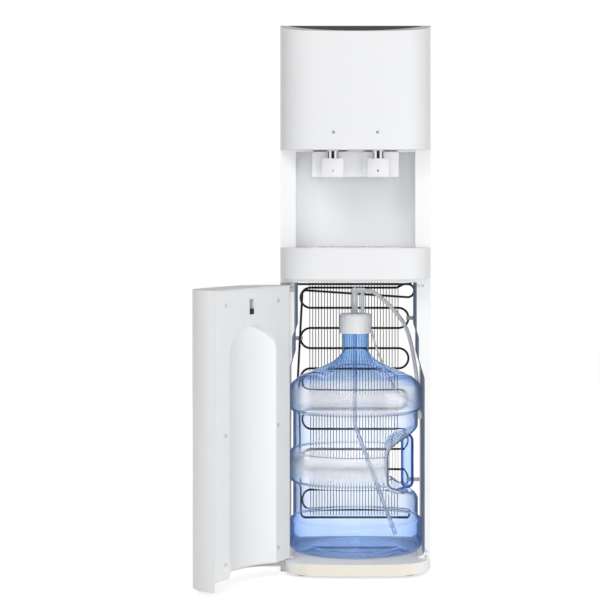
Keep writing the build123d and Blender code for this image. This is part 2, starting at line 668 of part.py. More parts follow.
with BuildPart(DOOR_FRAME) as door_shell:
    with BuildSketch(DOOR_FRAME.offset(DOOR_BOTTOM)):
        with BuildLine():
            bowed_front(0, DOOR_FACE)
        make_face()
    extrude(amount=DOOR_TOP - DOOR_BOTTOM)
    with BuildSketch(DOOR_FRAME.offset(DOOR_BOTTOM)):
        with BuildLine():
            bowed_front(DOOR_SKIN, DOOR_FACE + 20)
        make_face()
    extrude(amount=DOOR_LINER_BOTTOM - DOOR_SKIN - DOOR_BOTTOM, mode=Mode.SUBTRACT)
    with BuildSketch(DOOR_FRAME.offset(DOOR_LINER_BOTTOM)):
        with BuildLine():
            bowed_front(DOOR_SKIN, DOOR_FACE + 20)
        make_face()
    extrude(amount=DOOR_TOP - DOOR_SKIN - DOOR_LINER_BOTTOM, mode=Mode.SUBTRACT)
    for bush_z in (DOOR_LINER_BOTTOM - DOOR_SKIN, DOOR_TOP - BUSH_LENGTH):
        with Locations((HINGE_X, HINGE_Y, bush_z)):
            Cylinder(HINGE_BOSS, BUSH_LENGTH, align=UPRIGHT)
            Cylinder(BUSH_RADIUS, BUSH_LENGTH, align=UPRIGHT, mode=Mode.SUBTRACT)
    for screw_x in DOOR_SCREW_X:
        for screw_z in DOOR_SCREW_Z:
            with Locations(Location((screw_x, DOOR_FACE - DOOR_LINER_SKIN, screw_z), (90, 0, 0))):
                Cylinder(DOOR_SCREW_HEAD, 80, align=UPRIGHT)
    # the floor follows the hollow round the bottle's heel
    with Locations((0, BOTTLE_Y, 0)):
        Cylinder(HOLLOW_RADIUS, 2 * DOOR_LINER_BOTTOM, mode=Mode.SUBTRACT)
    with Locations((DOOR_FOOT_X, DOOR_FOOT_Y, DOOR_LINER_BOTTOM)):
        Cylinder(DOOR_FOOT_RADIUS + 0.1, 10.0, mode=Mode.SUBTRACT)
    with BuildSketch(DOOR_FRAME.offset(DOOR_BOTTOM - 1)):
        with BuildLine():
            bowed_front(0, DOOR_FACE)
        make_face()
    extrude(amount=DOOR_TOP, mode=Mode.INTERSECT)
save(door_shell, "door_shell")

with BuildPart() as hollow:
    with BuildSketch(DOOR_ELEVATION.offset(-DOOR_FACE - 10)):
        with BuildLine():
            hollow_arch(0)
        make_face()
    extrude(amount=60)
    with Locations(DOOR_FRAME):
        with Locations((0, BOTTLE_Y, 0)):
            Cylinder(HOLLOW_RADIUS, 2 * DOOR_TOP, mode=Mode.INTERSECT)

with BuildPart() as door_liner:
    with BuildSketch(DOOR_ELEVATION.offset(-DOOR_FACE)):
        with BuildLine():
            hollow_arch(DOOR_LINER_SKIN)
        make_face()
    extrude(amount=60)
    with Locations(DOOR_FRAME):
        with Locations((0, BOTTLE_Y, 0)):
            Cylinder(HOLLOW_RADIUS + DOOR_LINER_SKIN, 2 * DOOR_TOP, mode=Mode.INTERSECT)
        block(-WIDTH, WIDTH, FRONT, REAR, -DOOR_TOP, DOOR_LINER_BOTTOM, mode=Mode.SUBTRACT)
        block(
            LINER_FIT - LINER_EDGE,
            LINER_EDGE - LINER_FIT,
            DOOR_FACE - DOOR_LINER_SKIN,
            DOOR_FACE,
            DOOR_LINER_BOTTOM,
            DOOR_TOP - DOOR_SKIN - LINER_FIT,
        )
        block(
            LATCH_X - LATCH_WIDTH / 2 - DOOR_LINER_SKIN,
            LATCH_X + LATCH_WIDTH / 2 + DOOR_LINER_SKIN,
            DOOR_FACE - LATCH_DEPTH - DOOR_LINER_SKIN,
            DOOR_FACE,
            LATCH_LOW - DOOR_LINER_SKIN,
            LATCH_HIGH + DOOR_LINER_SKIN,
        )
        block(
            LATCH_X - LATCH_WIDTH / 2,
            LATCH_X + LATCH_WIDTH / 2,
            DOOR_FACE - LATCH_DEPTH,
            DOOR_FACE,
            LATCH_LOW,
            LATCH_HIGH,
            mode=Mode.SUBTRACT,
        )
    add(hollow.part, mode=Mode.SUBTRACT)
    with BuildSketch(DOOR_ELEVATION.offset(-DOOR_FACE)):
        with BuildLine():
            groove_frame(0)
        make_face()
        with BuildLine():
            groove_frame(LINER_GROOVE_WIDE)
        make_face(mode=Mode.SUBTRACT)
    extrude(amount=LINER_GROOVE_DEEP, mode=Mode.SUBTRACT)
save(door_liner, "door_liner")

with BuildPart(DOOR_FRAME) as strike_plate:
    block(
        LATCH_X - LATCH_WIDTH / 2 + 0.2,
        LATCH_X + LATCH_WIDTH / 2 - 0.2,
        DOOR_FACE - LATCH_DEPTH,
        DOOR_FACE - LATCH_DEPTH + 2.0,
        LATCH_LOW + 11.0,
        LATCH_HIGH - 0.2,
    )
save(strike_plate, "strike_plate")

with BuildPart(DOOR_FRAME) as catch_block:
    block(
        LATCH_X - LATCH_WIDTH / 2 + 0.2,
        LATCH_X + LATCH_WIDTH / 2 - 0.2,
        DOOR_FACE - LATCH_DEPTH,
        DOOR_FACE - 1.0,
        LATCH_LOW + 0.2,
        LATCH_LOW + 10.8,
    )
save(catch_block, "catch_block")

with BuildPart(DOOR_FRAME) as door_screws:
    for screw_x in DOOR_SCREW_X:
        for screw_z in DOOR_SCREW_Z:
            with Locations(Location((screw_x, DOOR_FACE, screw_z), (-90, 0, 0))):
                Cylinder(DOOR_SCREW_HEAD, 1.6, align=UPRIGHT)
save(door_screws, "door_screws")

BUMPER_X = WIDTH / 2 - 82.0
BUMPER_Z = DOOR_SCREW_Z[1] + 13.0
FOOT_BLOCK_HALF = 6.0
FOOT_BLOCK_THICK = 2.2
FOOT_BLOCK_LOW = DOOR_LINER_BOTTOM + 4.0
FOOT_BLOCK_HIGH = 30.0
bumper_turn = degrees(atan2(-sqrt(HOLLOW_RADIUS**2 - BUMPER_X**2), BUMPER_X))

with BuildPart(DOOR_FRAME) as door_bumper:
    with Locations(Location((0, BOTTLE_Y, BUMPER_Z), (0, 0, bumper_turn))):
        with Locations(Location((HOLLOW_RADIUS - 0.1, 0, 0), (0, -90, 0))):
            Cylinder(5.0, 2.5, align=UPRIGHT)
    chamfer(door_bumper.edges().filter_by(GeomType.CIRCLE), 0.5)
    # the rest at the free lower corner: a pad on the liner and a round foot under it
    block(
        DOOR_FOOT_X - FOOT_BLOCK_HALF,
        DOOR_FOOT_X + FOOT_BLOCK_HALF,
        DOOR_FACE,
        DOOR_FACE + FOOT_BLOCK_THICK,
        FOOT_BLOCK_LOW,
        FOOT_BLOCK_LOW + FOOT_BLOCK_HIGH,
    )
    with Locations((DOOR_FOOT_X, DOOR_FOOT_Y, BASE_TOP + 0.5)):
        Cylinder(DOOR_FOOT_RADIUS, DOOR_LINER_BOTTOM - SEAT - BASE_TOP - 0.5, align=UPRIGHT)
save(door_bumper, "door_bumper")

# ---------------------------------------------------------------- hinges
HINGE_TOP_PLATE = DECK_BOTTOM - HINGE_PLATE
HINGE_LEAF = 16.5  # how far the top hinge reaches down the post

with BuildPart() as top_hinge:
    with BuildSketch(Plane.XY.offset(HINGE_TOP_PLATE)):
        with BuildLine():
            Polyline(
                (HINGE_X + HINGE_EAR, HINGE_Y),
                (-OPENING_HIGH_HALF - 1.0, POST_FACE),
                (HINGE_X - HINGE_EAR, POST_FACE),
                (HINGE_X - HINGE_EAR, HINGE_Y),
            )
            CenterArc((HINGE_X, HINGE_Y), HINGE_EAR, 180, 180)
        make_face()
    extrude(amount=HINGE_PLATE)
    block(
        HINGE_X + HINGE_EAR,
        -OPENING_HIGH_HALF - 1.0,
        POST_FACE - HINGE_PLATE,
        POST_FACE,
        HINGE_TOP_PLATE - HINGE_LEAF,
        DECK_BOTTOM,
    )
    with Locations((HINGE_X, HINGE_Y, HINGE_TOP_PLATE)):
        Cylinder(HINGE_PIN_RADIUS, BUSH_LENGTH, align=(Align.CENTER, Align.CENTER, Align.MAX))
save(top_hinge, "top_hinge")

with BuildPart() as bottom_hinge:
    with BuildSketch(Plane.XY.offset(BASE_BOTTOM - HINGE_PLATE)):
        with BuildLine():
            Polyline(
                (HINGE_X + HINGE_EAR, HINGE_Y),
                (HINGE_X + HINGE_EAR, POST_FACE - 6),
                (HINGE_X + 48, POST_FACE + 4),
                (HINGE_X + 48, POST_FACE + 24),
                (HINGE_X + 3, POST_FACE + 24),
                (HINGE_X + 3 - HINGE_EAR, POST_FACE),
                (HINGE_X - HINGE_EAR, HINGE_Y),
            )
            CenterArc((HINGE_X, HINGE_Y), HINGE_EAR, 180, 180)
        make_face()
    extrude(amount=HINGE_PLATE)
    with Locations((-FOOT_X, -FOOT_Y, 0)):
        Cylinder(FOOT_RADIUS + 1, 20, mode=Mode.SUBTRACT)
    with Locations((HINGE_X, HINGE_Y, BASE_BOTTOM)):
        Cylinder(4.0, DOOR_LINER_BOTTOM - DOOR_SKIN - SEAT - BASE_BOTTOM, align=UPRIGHT)
        Cylinder(HINGE_PIN_RADIUS, DOOR_LINER_BOTTOM - DOOR_SKIN + BUSH_LENGTH - 1 - BASE_BOTTOM, align=UPRIGHT)
save(bottom_hinge, "bottom_hinge")

with BuildPart(DOOR_FRAME) as hinge_bushes:
    for bush_z in (DOOR_LINER_BOTTOM - DOOR_SKIN, DOOR_TOP - BUSH_LENGTH):
        with Locations((HINGE_X, HINGE_Y, bush_z)):
            Cylinder(BUSH_RADIUS - 0.02, BUSH_LENGTH, align=UPRIGHT)
            Cylinder(HINGE_PIN_RADIUS + 0.06, BUSH_LENGTH, align=UPRIGHT, mode=Mode.SUBTRACT)
save(hinge_bushes, "hinge_bushes")

# ---------------------------------------------------------------- bottle
BOTTLE_BOTTOM = BASE_TOP
BOTTLE_PUNT = 6.0  # rise of the base's middle
BOTTLE_WAIST = BOTTLE_RADIUS - 8.0  # between the stout rings
BOTTLE_HEEL = 22.0
NOTCH_X = BOTTLE_RADIUS - 70.0
GRIP_X = BOTTLE_RADIUS - 30.0
NOTCH_FILLET = 9.0
GRIP_THICK = 28.0
GRIP_WIDE = 36.0
GRIP_CORNER = 11.0

with BuildPart() as bottle:
    with BuildSketch(Plane.XZ.offset(-BOTTLE_Y)) as bottle_profile:
        with BuildLine():
            Polyline(
                (0, BOTTLE_BOTTOM + BOTTLE_PUNT),
                (BOTTLE_RADIUS - 48, BOTTLE_BOTTOM + BOTTLE_PUNT),
                (BOTTLE_RADIUS - 36, BOTTLE_BOTTOM),
                (BOTTLE_RADIUS, BOTTLE_BOTTOM),
                (BOTTLE_RADIUS, BOTTLE_BOTTOM + 63),
                (BOTTLE_WAIST, BOTTLE_BOTTOM + 69),
                (BOTTLE_WAIST, BOTTLE_BOTTOM + 140),
                (BOTTLE_RADIUS, BOTTLE_BOTTOM + 146),
                (BOTTLE_RADIUS, BOTTLE_BOTTOM + 202),
                (BOTTLE_WAIST, BOTTLE_BOTTOM + 208),
                (BOTTLE_WAIST, BOTTLE_BOTTOM + 284),
                (BOTTLE_RADIUS, BOTTLE_BOTTOM + 290),
                (BOTTLE_RADIUS, BOTTLE_TOP - 143),
                (BOTTLE_RADIUS - 4, BOTTLE_TOP - 133),
                (BOTTLE_RADIUS - 22, BOTTLE_TOP - 117),
                (BOTTLE_RADIUS - 62, BOTTLE_TOP - 101.5),
                (BOTTLE_NECK_RADIUS + 19.5, BOTTLE_TOP - 88),
                (BOTTLE_NECK_RADIUS + 4.5, BOTTLE_TOP - 75),
                (BOTTLE_NECK_RADIUS, BOTTLE_TOP - 65),
                (BOTTLE_NECK_RADIUS, BOTTLE_TOP),
                (0, BOTTLE_TOP),
                close=True,
            )
        make_face()
        heel = bottle_profile.vertices().filter_by_position(Axis.Y, BOTTLE_BOTTOM - 1, BOTTLE_BOTTOM + 1)
        fillet(heel.sort_by(Axis.X)[-1], BOTTLE_HEEL)
    revolve(axis=Axis((0, BOTTLE_Y, 0), (0, 0, 1)))
    with BuildSketch(Plane.XZ) as notch_profile:
        with BuildLine():
            Polyline(
                (NOTCH_X + 84, BOTTLE_BOTTOM + 264),
                (NOTCH_X + 57, BOTTLE_BOTTOM + 245),
                (NOTCH_X + 14, BOTTLE_BOTTOM + 225),
                (NOTCH_X, BOTTLE_BOTTOM + 210),
                (NOTCH_X, BOTTLE_BOTTOM + 144),
                (NOTCH_X + 14, BOTTLE_BOTTOM + 132),
                (NOTCH_X + 47, BOTTLE_BOTTOM + 123),
                (NOTCH_X + 84, BOTTLE_BOTTOM + 96),
                close=True,
            )
        make_face()
        fillet(notch_profile.vertices().filter_by_position(Axis.X, NOTCH_X - 1, NOTCH_X + 58), NOTCH_FILLET)
    extrude(amount=WIDTH, both=True, mode=Mode.SUBTRACT)
    with BuildPart(mode=Mode.PRIVATE) as cavity:
        with BuildSketch(Plane.XZ.offset(-BOTTLE_Y)):
            offset(bottle_profile.sketch_local, amount=-BOTTLE_WALL)
            # fills the thin core that the offset leaves along the axis
            with Locations((0, BOTTLE_BOTTOM + BOTTLE_PUNT + BOTTLE_WALL)):
                Rectangle(
                    BOTTLE_NECK_RADIUS / 2,
                    BOTTLE_TOP - BOTTLE_BOTTOM - BOTTLE_PUNT - 4 * BOTTLE_WALL,
                    align=(Align.MIN, Align.MIN),
                )
        revolve(axis=Axis((0, BOTTLE_Y, 0), (0, 0, 1)))
        with BuildSketch(Plane.XZ):
            offset(notch_profile.sketch_local, amount=BOTTLE_WALL)
        extrude(amount=WIDTH, both=True, mode=Mode.SUBTRACT)
        with Locations((0, BOTTLE_Y, BOTTLE_TOP - 60)):
            Cylinder(BOTTLE_NECK_RADIUS - BOTTLE_WALL, 80, align=UPRIGHT)
    add(cavity.part, mode=Mode.SUBTRACT)
save(bottle, "bottle")

# the grip is a moulded tube that stands in the notch, its ends cut to the slope of the notch
with BuildPart() as bottle_grip:
    with BuildSketch(Plane.XY.offset(BOTTLE_BOTTOM)):
        with Locations((GRIP_X, BOTTLE_Y)):
            RectangleRounded(GRIP_THICK, GRIP_WIDE, GRIP_CORNER)
            RectangleRounded(
                GRIP_THICK - 2 * BOTTLE_WALL,
                GRIP_WIDE - 2 * BOTTLE_WALL,
                GRIP_CORNER - BOTTLE_WALL,
                mode=Mode.SUBTRACT,
            )
    extrude(amount=BOTTLE_TOP - BOTTLE_BOTTOM)
    with BuildSketch(Plane.XZ):
        offset(notch_profile.sketch_local, amount=-SEAT)
    extrude(amount=WIDTH, both=True, mode=Mode.INTERSECT)
save(bottle_grip, "bottle_grip")

# ---------------------------------------------------------------- cap, fitting and dip pipe
CAP_RADIUS = 32.6
CAP_BOTTOM = BOTTLE_TOP - 30.0
CAP_TOP = BOTTLE_TOP + 10.0
CAP_FLUTES = 24
PIPE_X = -1.7
PIPE_RADIUS = 4.0
PIPE_KNEE_Z = 283.0
STEM_X = 14.4
HOSE_RADIUS = 4.0
HOSE_RISE = 47.0  # of the hose's elbow above the cap
HOSE_Z = CAP_TOP + HOSE_RISE

with BuildPart() as probe_cap:
    with Locations((0, BOTTLE_Y, CAP_BOTTOM)):
        Cylinder(CAP_RADIUS, CAP_TOP - CAP_BOTTOM, align=UPRIGHT)
    chamfer(probe_cap.edges().filter_by(GeomType.CIRCLE).sort_by(Axis.Z)[-1], 3)
    with Locations((0, BOTTLE_Y, CAP_BOTTOM)):
        with PolarLocations(CAP_RADIUS + 0.6, CAP_FLUTES):
            Cylinder(1.6, CAP_TOP - CAP_BOTTOM - 8, align=UPRIGHT, mode=Mode.SUBTRACT)
        Cylinder(BOTTLE_NECK_RADIUS + 0.1, BOTTLE_TOP - CAP_BOTTOM, align=UPRIGHT, mode=Mode.SUBTRACT)
    for bore_x in (PIPE_X, STEM_X):
        with Locations((bore_x, BOTTLE_Y, CAP_TOP)):
            Cylinder(PIPE_RADIUS + 0.1, 40, mode=Mode.SUBTRACT)
save(probe_cap, "probe_cap")

with BuildPart() as cap_fitting:
    with Locations((PIPE_X, BOTTLE_Y, CAP_TOP)):
        Cylinder(6.5, HOSE_Z - CAP_TOP, align=UPRIGHT)
    with Locations((PIPE_X, BOTTLE_Y, HOSE_Z)):
        Sphere(6.5)
    with Locations((STEM_X, BOTTLE_Y, BOTTLE_TOP - 8)):
        Cylinder(PIPE_RADIUS, HOSE_Z - BOTTLE_TOP + 8, align=UPRIGHT)
    with Locations(Location((PIPE_X, BOTTLE_Y, HOSE_Z), (0, 90, 0))):
        Cylinder(5.5, STEM_X - PIPE_X + 5, align=UPRIGHT)
    with Locations((PIPE_X, BOTTLE_Y, 0)):
        Cylinder(PIPE_RADIUS + 0.05, CAP_TOP + 20, align=UPRIGHT, mode=Mode.SUBTRACT)
save(cap_fitting, "cap_fitting")

with BuildPart() as dip_pipe:
    with BuildLine() as dip_route:
        FilletPolyline(
            (PIPE_X, BOTTLE_Y, CAP_TOP + 18),
            (PIPE_X, BOTTLE_Y, PIPE_KNEE_Z),
            (BOTTLE_RADIUS - 54, BOTTLE_Y, BOTTLE_BOTTOM + 30),
            radius=50,
        )
    with BuildSketch(Plane((PIPE_X, BOTTLE_Y, CAP_TOP + 18), x_dir=(1, 0, 0), z_dir=(0, 0, -1))):
        Circle(PIPE_RADIUS)
        Circle(PIPE_RADIUS - 1.2, mode=Mode.SUBTRACT)
    sweep(path=dip_route.wire())
save(dip_pipe, "dip_pipe")

# ---------------------------------------------------------------- condenser
PUMP_X = WIDTH / 2 - 38.0
COMPRESSOR_X = PUMP_X - 117.0
COMPRESSOR_Y = 84.0
COMPRESSOR_RADIUS = 56.0
COMPRESSOR_PORT_Z = DECK_TOP + 52.0
DRIER_BOTTOM = DECK_TOP + 72.0
COIL_LEFT = 32.9 - WIDTH / 2
COIL_RIGHT = WIDTH / 2 - 37.1
COIL_BEND = 21.4
coil_top = COIL_LOW + (COIL_ROWS - 1) * COIL_PITCH
coil_lid = DECK_BOTTOM - 13.7  # the crossing run under the deck
pipe_turn = DECK_BOTTOM - 5.1  # where the outlet turns up through the deck
coil_foot = COIL_LOW - 15.4

coil_points = [
    (COMPRESSOR_X - COMPRESSOR_RADIUS - 4, COMPRESSOR_Y, COMPRESSOR_PORT_Z),
    (PIPE_INLET_X, COMPRESSOR_Y, COMPRESSOR_PORT_Z),
    (PIPE_INLET_X, PIPE_INLET_Y, COMPRESSOR_PORT_Z),
    (PIPE_INLET_X, PIPE_INLET_Y, coil_lid),
    (PIPE_INLET_X, RETURN_Y, coil_lid),
    (COIL_RIGHT + 12.1, RETURN_Y, coil_lid),
    (COIL_RIGHT + 12.1, RETURN_Y, coil_lid - 28.8),
    (COIL_LEFT + 4.1, RETURN_Y, coil_lid - 12.8),
    (COIL_LEFT - 7.9, RETURN_Y, (coil_lid + COIL_LOW) / 2),
    (COIL_LEFT - 2.9, RETURN_Y, coil_foot),
    (PIPE_OUTLET_X, RETURN_Y, coil_foot),
    (PIPE_OUTLET_X, COIL_Y, COIL_LOW),
]
coil_bends = [12, 12, 8, 8, 14, 14, 8, 60, 12, 7, 7]
for row in range(COIL_ROWS - 1):
    end_x = COIL_LEFT if row % 2 == 0 else COIL_RIGHT
    low = COIL_LOW + row * COIL_PITCH
    coil_points += [(end_x, COIL_Y, low), (end_x, COIL_Y, low + COIL_PITCH)]
    coil_bends += [COIL_BEND, COIL_BEND]
coil_points += [
    (COIL_RIGHT - 24.9, COIL_Y, coil_top),
    (COIL_RIGHT - 8.9, COIL_Y, coil_lid),
    (PIPE_OUTLET_X, COIL_Y, coil_lid),
    (PIPE_OUTLET_X, COIL_Y, pipe_turn),
    (PIPE_OUTLET_X, PIPE_OUTLET_Y, pipe_turn),
    (PIPE_OUTLET_X, PIPE_OUTLET_Y, DRIER_BOTTOM),
]
coil_bends += [12, 12, 4, 4, 4]

with BuildPart() as condenser_tube:
    with BuildLine() as coil_route:
        FilletPolyline(*coil_points, radius=coil_bends)
    with BuildSketch(Plane(coil_points[0], x_dir=(0, 1, 0), z_dir=(-1, 0, 0))):
        RegularPolygon(TUBE_RADIUS, TUBE_FACETS)
    sweep(path=coil_route.wire())
save(condenser_tube, "condenser_tube")

WIRE_LOW = COIL_LOW - 11.4
WIRE_HIGH = DECK_BOTTOM - 3.5
WIRE_LEFT = COIL_LEFT + 19.6
WIRE_RIGHT = COIL_RIGHT - 22.2
wire_offset = TUBE_RADIUS + WIRE_RADIUS + 0.05

with BuildPart() as condenser_wires:
    with BuildSketch(Plane.XY.offset(WIRE_LOW)):
        with Locations(
            ((WIRE_LEFT + WIRE_RIGHT) / 2, COIL_Y - wire_offset),
            ((WIRE_LEFT + WIRE_RIGHT) / 2, COIL_Y + wire_offset),
        ):
            with GridLocations((WIRE_RIGHT - WIRE_LEFT) / (WIRE_COUNT - 1), 1, WIRE_COUNT, 1):
                RegularPolygon(WIRE_RADIUS, TUBE_FACETS)
    extrude(amount=WIRE_HIGH - WIRE_LOW)
save(condenser_wires, "condenser_wires")

CLIP_HALF = 4.0
CLIP_FRONT = COIL_Y - 4.0
CLIP_BACK = COIL_Y + 3.6


def coil_clip(side, tube_x, z):
    """Plastic stand-off from a side panel's rear flange to the end of one coil bend."""
    outer = side * (PANEL_INSIDE - 2)
    inner = side * (PANEL_INSIDE - REAR_FLANGE)
    tip = tube_x - side * 4.5
    block(min(outer, inner), max(outer, inner), REAR, CLIP_BACK, z - CLIP_HALF, z + CLIP_HALF)
    block(min(tip, inner), max(tip, inner), CLIP_FRONT, CLIP_BACK, z - CLIP_HALF, z + CLIP_HALF)
    with Locations((tube_x, COIL_Y, z)):
        Cylinder(TUBE_RADIUS + 0.6, 4 * CLIP_HALF, mode=Mode.SUBTRACT)


with BuildPart() as coil_clips:
    for row in (2, 8):
        coil_clip(-1, COIL_LEFT, COIL_LOW + (row + 0.5) * COIL_PITCH)
    for row in (1, 9):
        coil_clip(1, COIL_RIGHT, COIL_LOW + (row + 0.5) * COIL_PITCH)
save(coil_clips, "coil_clips")

# ---------------------------------------------------------------- compressor and refrigerant circuit
COMPRESSOR_HIGH = DECK_TOP + 154.0
COMPRESSOR_LOW = DECK_TOP + 16.0
COMPRESSOR_SEAM = DECK_TOP + 93.0
COMPRESSOR_LIP = 4.0
PLATE_HALF = 80.0
COMPRESSOR_PLATE = 3.0
CAN_RADIUS = COMPRESSOR_RADIUS - COMPRESSOR_LIP
MOUNT_HEIGHT = 10.0
plate_low = DECK_TOP + MOUNT_HEIGHT

with BuildPart() as compressor:
    with BuildSketch(Plane.XZ.offset(-COMPRESSOR_Y)):
        with BuildLine():
            Polyline(
                (COMPRESSOR_X, COMPRESSOR_LOW),
                (COMPRESSOR_X + CAN_RADIUS - 22, COMPRESSOR_LOW),
                (COMPRESSOR_X + CAN_RADIUS - 6, COMPRESSOR_LOW + 8),
                (COMPRESSOR_X + CAN_RADIUS, COMPRESSOR_LOW + 26),
                (COMPRESSOR_X + CAN_RADIUS, COMPRESSOR_SEAM - 5),
                (COMPRESSOR_X + COMPRESSOR_RADIUS, COMPRESSOR_SEAM - 3),
                (COMPRESSOR_X + COMPRESSOR_RADIUS, COMPRESSOR_SEAM + 3),
                (COMPRESSOR_X + CAN_RADIUS, COMPRESSOR_SEAM + 5),
                (COMPRESSOR_X + CAN_RADIUS, COMPRESSOR_HIGH - 26),
                (COMPRESSOR_X + CAN_RADIUS - 6, COMPRESSOR_HIGH - 8),
                (COMPRESSOR_X + CAN_RADIUS - 22, COMPRESSOR_HIGH),
                (COMPRESSOR_X, COMPRESSOR_HIGH),
                close=True,
            )
        make_face()
    revolve(axis=Axis((COMPRESSOR_X, COMPRESSOR_Y, 0), (0, 0, 1)))
    block(
        COMPRESSOR_X - PLATE_HALF,
        COMPRESSOR_X + PLATE_HALF,
        COMPRESSOR_Y - 45,
        COMPRESSOR_Y + 45,
        plate_low,
        plate_low + COMPRESSOR_PLATE,
    )
    with Locations((COMPRESSOR_X, COMPRESSOR_Y, plate_low)):
        Cylinder(34, 12, align=UPRIGHT)
    port = (COMPRESSOR_X - COMPRESSOR_RADIUS + 8, COMPRESSOR_Y, COMPRESSOR_PORT_Z)
    with Locations(Location(port, (0, -90, 0))):
        Cylinder(4.0, 12.0, align=UPRIGHT)
    with Locations((COMPRESSOR_X + 20, COMPRESSOR_Y, COMPRESSOR_HIGH - 10)):
        Cylinder(4.0, 16.0, align=UPRIGHT)
save(compressor, "compressor")

with BuildPart() as compressor_mounts:
    for mount_x in (COMPRESSOR_X + 9 - PLATE_HALF, COMPRESSOR_X - 9 + PLATE_HALF):
        for mount_y in (COMPRESSOR_Y - 36, COMPRESSOR_Y + 36):
            with Locations((mount_x, mount_y, DECK_TOP)):
                Cylinder(8.0, MOUNT_HEIGHT, align=UPRIGHT)
save(compressor_mounts, "compressor_mounts")

with BuildPart() as terminal_cover:
    block(
        COMPRESSOR_X - 25,
        COMPRESSOR_X + 25,
        COMPRESSOR_Y - COMPRESSOR_RADIUS - 15,
        COMPRESSOR_Y - 40,
        COMPRESSOR_SEAM - 51,
        COMPRESSOR_SEAM - 13,
    )
    with Locations((COMPRESSOR_X, COMPRESSOR_Y, COMPRESSOR_SEAM)):
        Cylinder(CAN_RADIUS + 0.1, 200, mode=Mode.SUBTRACT)
save(terminal_cover, "terminal_cover")

with BuildPart() as filter_drier:
    with Locations((PIPE_OUTLET_X, PIPE_OUTLET_Y, DRIER_BOTTOM)):
        Cylinder(3.2, 90, align=UPRIGHT)
    with Locations((PIPE_OUTLET_X, PIPE_OUTLET_Y, DRIER_BOTTOM + 12)):
        Cylinder(9.5, 66, align=UPRIGHT)
    chamfer(filter_drier.edges().filter_by(GeomType.CIRCLE).filter_by(lambda e: e.radius > 9), 3)
save(filter_drier, "filter_drier")

# ---------------------------------------------------------------- shelf with the two tanks
SHELF_TOP = NICHE_TOP + 13.5
SHELF_THICK = 1.5
SHELF_FRONT = -40.0
TANK_Y = 72.0
COLD_RADIUS = 60.0
COLD_FOAM = 16.0
COLD_X = WIDTH / 2 - 12.0 - COLD_FOAM - COLD_RADIUS
COLD_HIGH = TOP_UNDERSIDE - 78.0
TANK_GAP = 10.0  # between the two jackets
HOT_FOAM = 8.0
HOT_JACKET = (COLD_X - COLD_RADIUS - COLD_FOAM - TANK_GAP + WIDTH / 2 - 14.0) / 2
HOT_RADIUS = HOT_JACKET - HOT_FOAM
HOT_X = HOT_JACKET + 14.0 - WIDTH / 2
HOT_HIGH = TOP_UNDERSIDE - 88.0
TANK_LOW = SHELF_TOP + 14.0

with BuildPart() as tank_shelf:
    block(SEAT - PANEL_INSIDE, PANEL_INSIDE - SEAT, SHELF_FRONT, REAR - 2, SHELF_TOP - SHELF_THICK, SHELF_TOP)
    for side_x in (SEAT - PANEL_INSIDE, PANEL_INSIDE - SEAT - SHELF_THICK):
        block(side_x, side_x + SHELF_THICK, SHELF_FRONT, REAR - 2, SHELF_TOP - 10, SHELF_TOP)
    for hole_x, hole_y, hole_r in (
        (20 - WIDTH / 2, REAR - 24, 8),
        (WIDTH / 2 - 20, REAR - 24, 8),
        (COMPRESSOR_X + 20, COMPRESSOR_Y, 6),
    ):
        with Locations((hole_x, hole_y, SHELF_TOP)):
            Cylinder(hole_r, 10, mode=Mode.SUBTRACT)
save(tank_shelf, "tank_shelf")


def tank(x, radius, high):
    """Closed upright steel tank."""
    with Locations((x, TANK_Y, TANK_LOW)):
        Cylinder(radius, high - TANK_LOW, align=UPRIGHT)


with BuildPart() as cold_tank:
    tank(COLD_X, COLD_RADIUS, COLD_HIGH)
    chamfer(cold_tank.edges().filter_by(GeomType.CIRCLE), 10)
save(cold_tank, "cold_tank")

with BuildPart() as cold_insulation:
    with Locations((COLD_X, TANK_Y, SHELF_TOP)):
        Cylinder(COLD_RADIUS + COLD_FOAM, COLD_HIGH + 14 - SHELF_TOP, align=UPRIGHT)
    chamfer(cold_insulation.edges().filter_by(GeomType.CIRCLE), 5)
    with Locations((COLD_X, TANK_Y, TANK_LOW)):
        Cylinder(COLD_RADIUS + 0.1, COLD_HIGH - TANK_LOW, align=UPRIGHT, mode=Mode.SUBTRACT)
save(cold_insulation, "cold_insulation")

with BuildPart() as hot_tank:
    tank(HOT_X, HOT_RADIUS, HOT_HIGH)
    chamfer(hot_tank.edges().filter_by(GeomType.CIRCLE), 8)
save(hot_tank, "hot_tank")

with BuildPart() as hot_insulation:
    with Locations((HOT_X, TANK_Y, SHELF_TOP)):
        Cylinder(HOT_RADIUS + HOT_FOAM, HOT_HIGH + 10 - SHELF_TOP, align=UPRIGHT)
    with Locations((HOT_X, TANK_Y, TANK_LOW)):
        Cylinder(HOT_RADIUS + 0.1, HOT_HIGH - TANK_LOW, align=UPRIGHT, mode=Mode.SUBTRACT)
save(hot_insulation, "hot_insulation")


TAP_LINE_Z = TAP_STEM_TOP + 26.0
TAP_LINE_RADIUS = 5.0


def tap_line(x, tank_x, tank_edge):
    """Route from the top of a tap back to its tank's jacket."""
    return FilletPolyline(
        (x, TAP_Y, TAP_STEM_TOP),
        (x, TAP_Y, TAP_LINE_Z),
        (tank_x, TAP_Y + 60, TAP_LINE_Z),
        (tank_x, tank_edge - 0.2, TAP_LINE_Z),
        radius=18,
    )


with BuildPart() as cold_line:
    with BuildLine() as cold_route:
        tap_line(TAP_X, COLD_X, TANK_Y - COLD_RADIUS - COLD_FOAM)
    with BuildSketch(Plane((TAP_X, TAP_Y, TAP_STEM_TOP))):
        Circle(TAP_LINE_RADIUS)
    sweep(path=cold_route.wire())
save(cold_line, "cold_line")

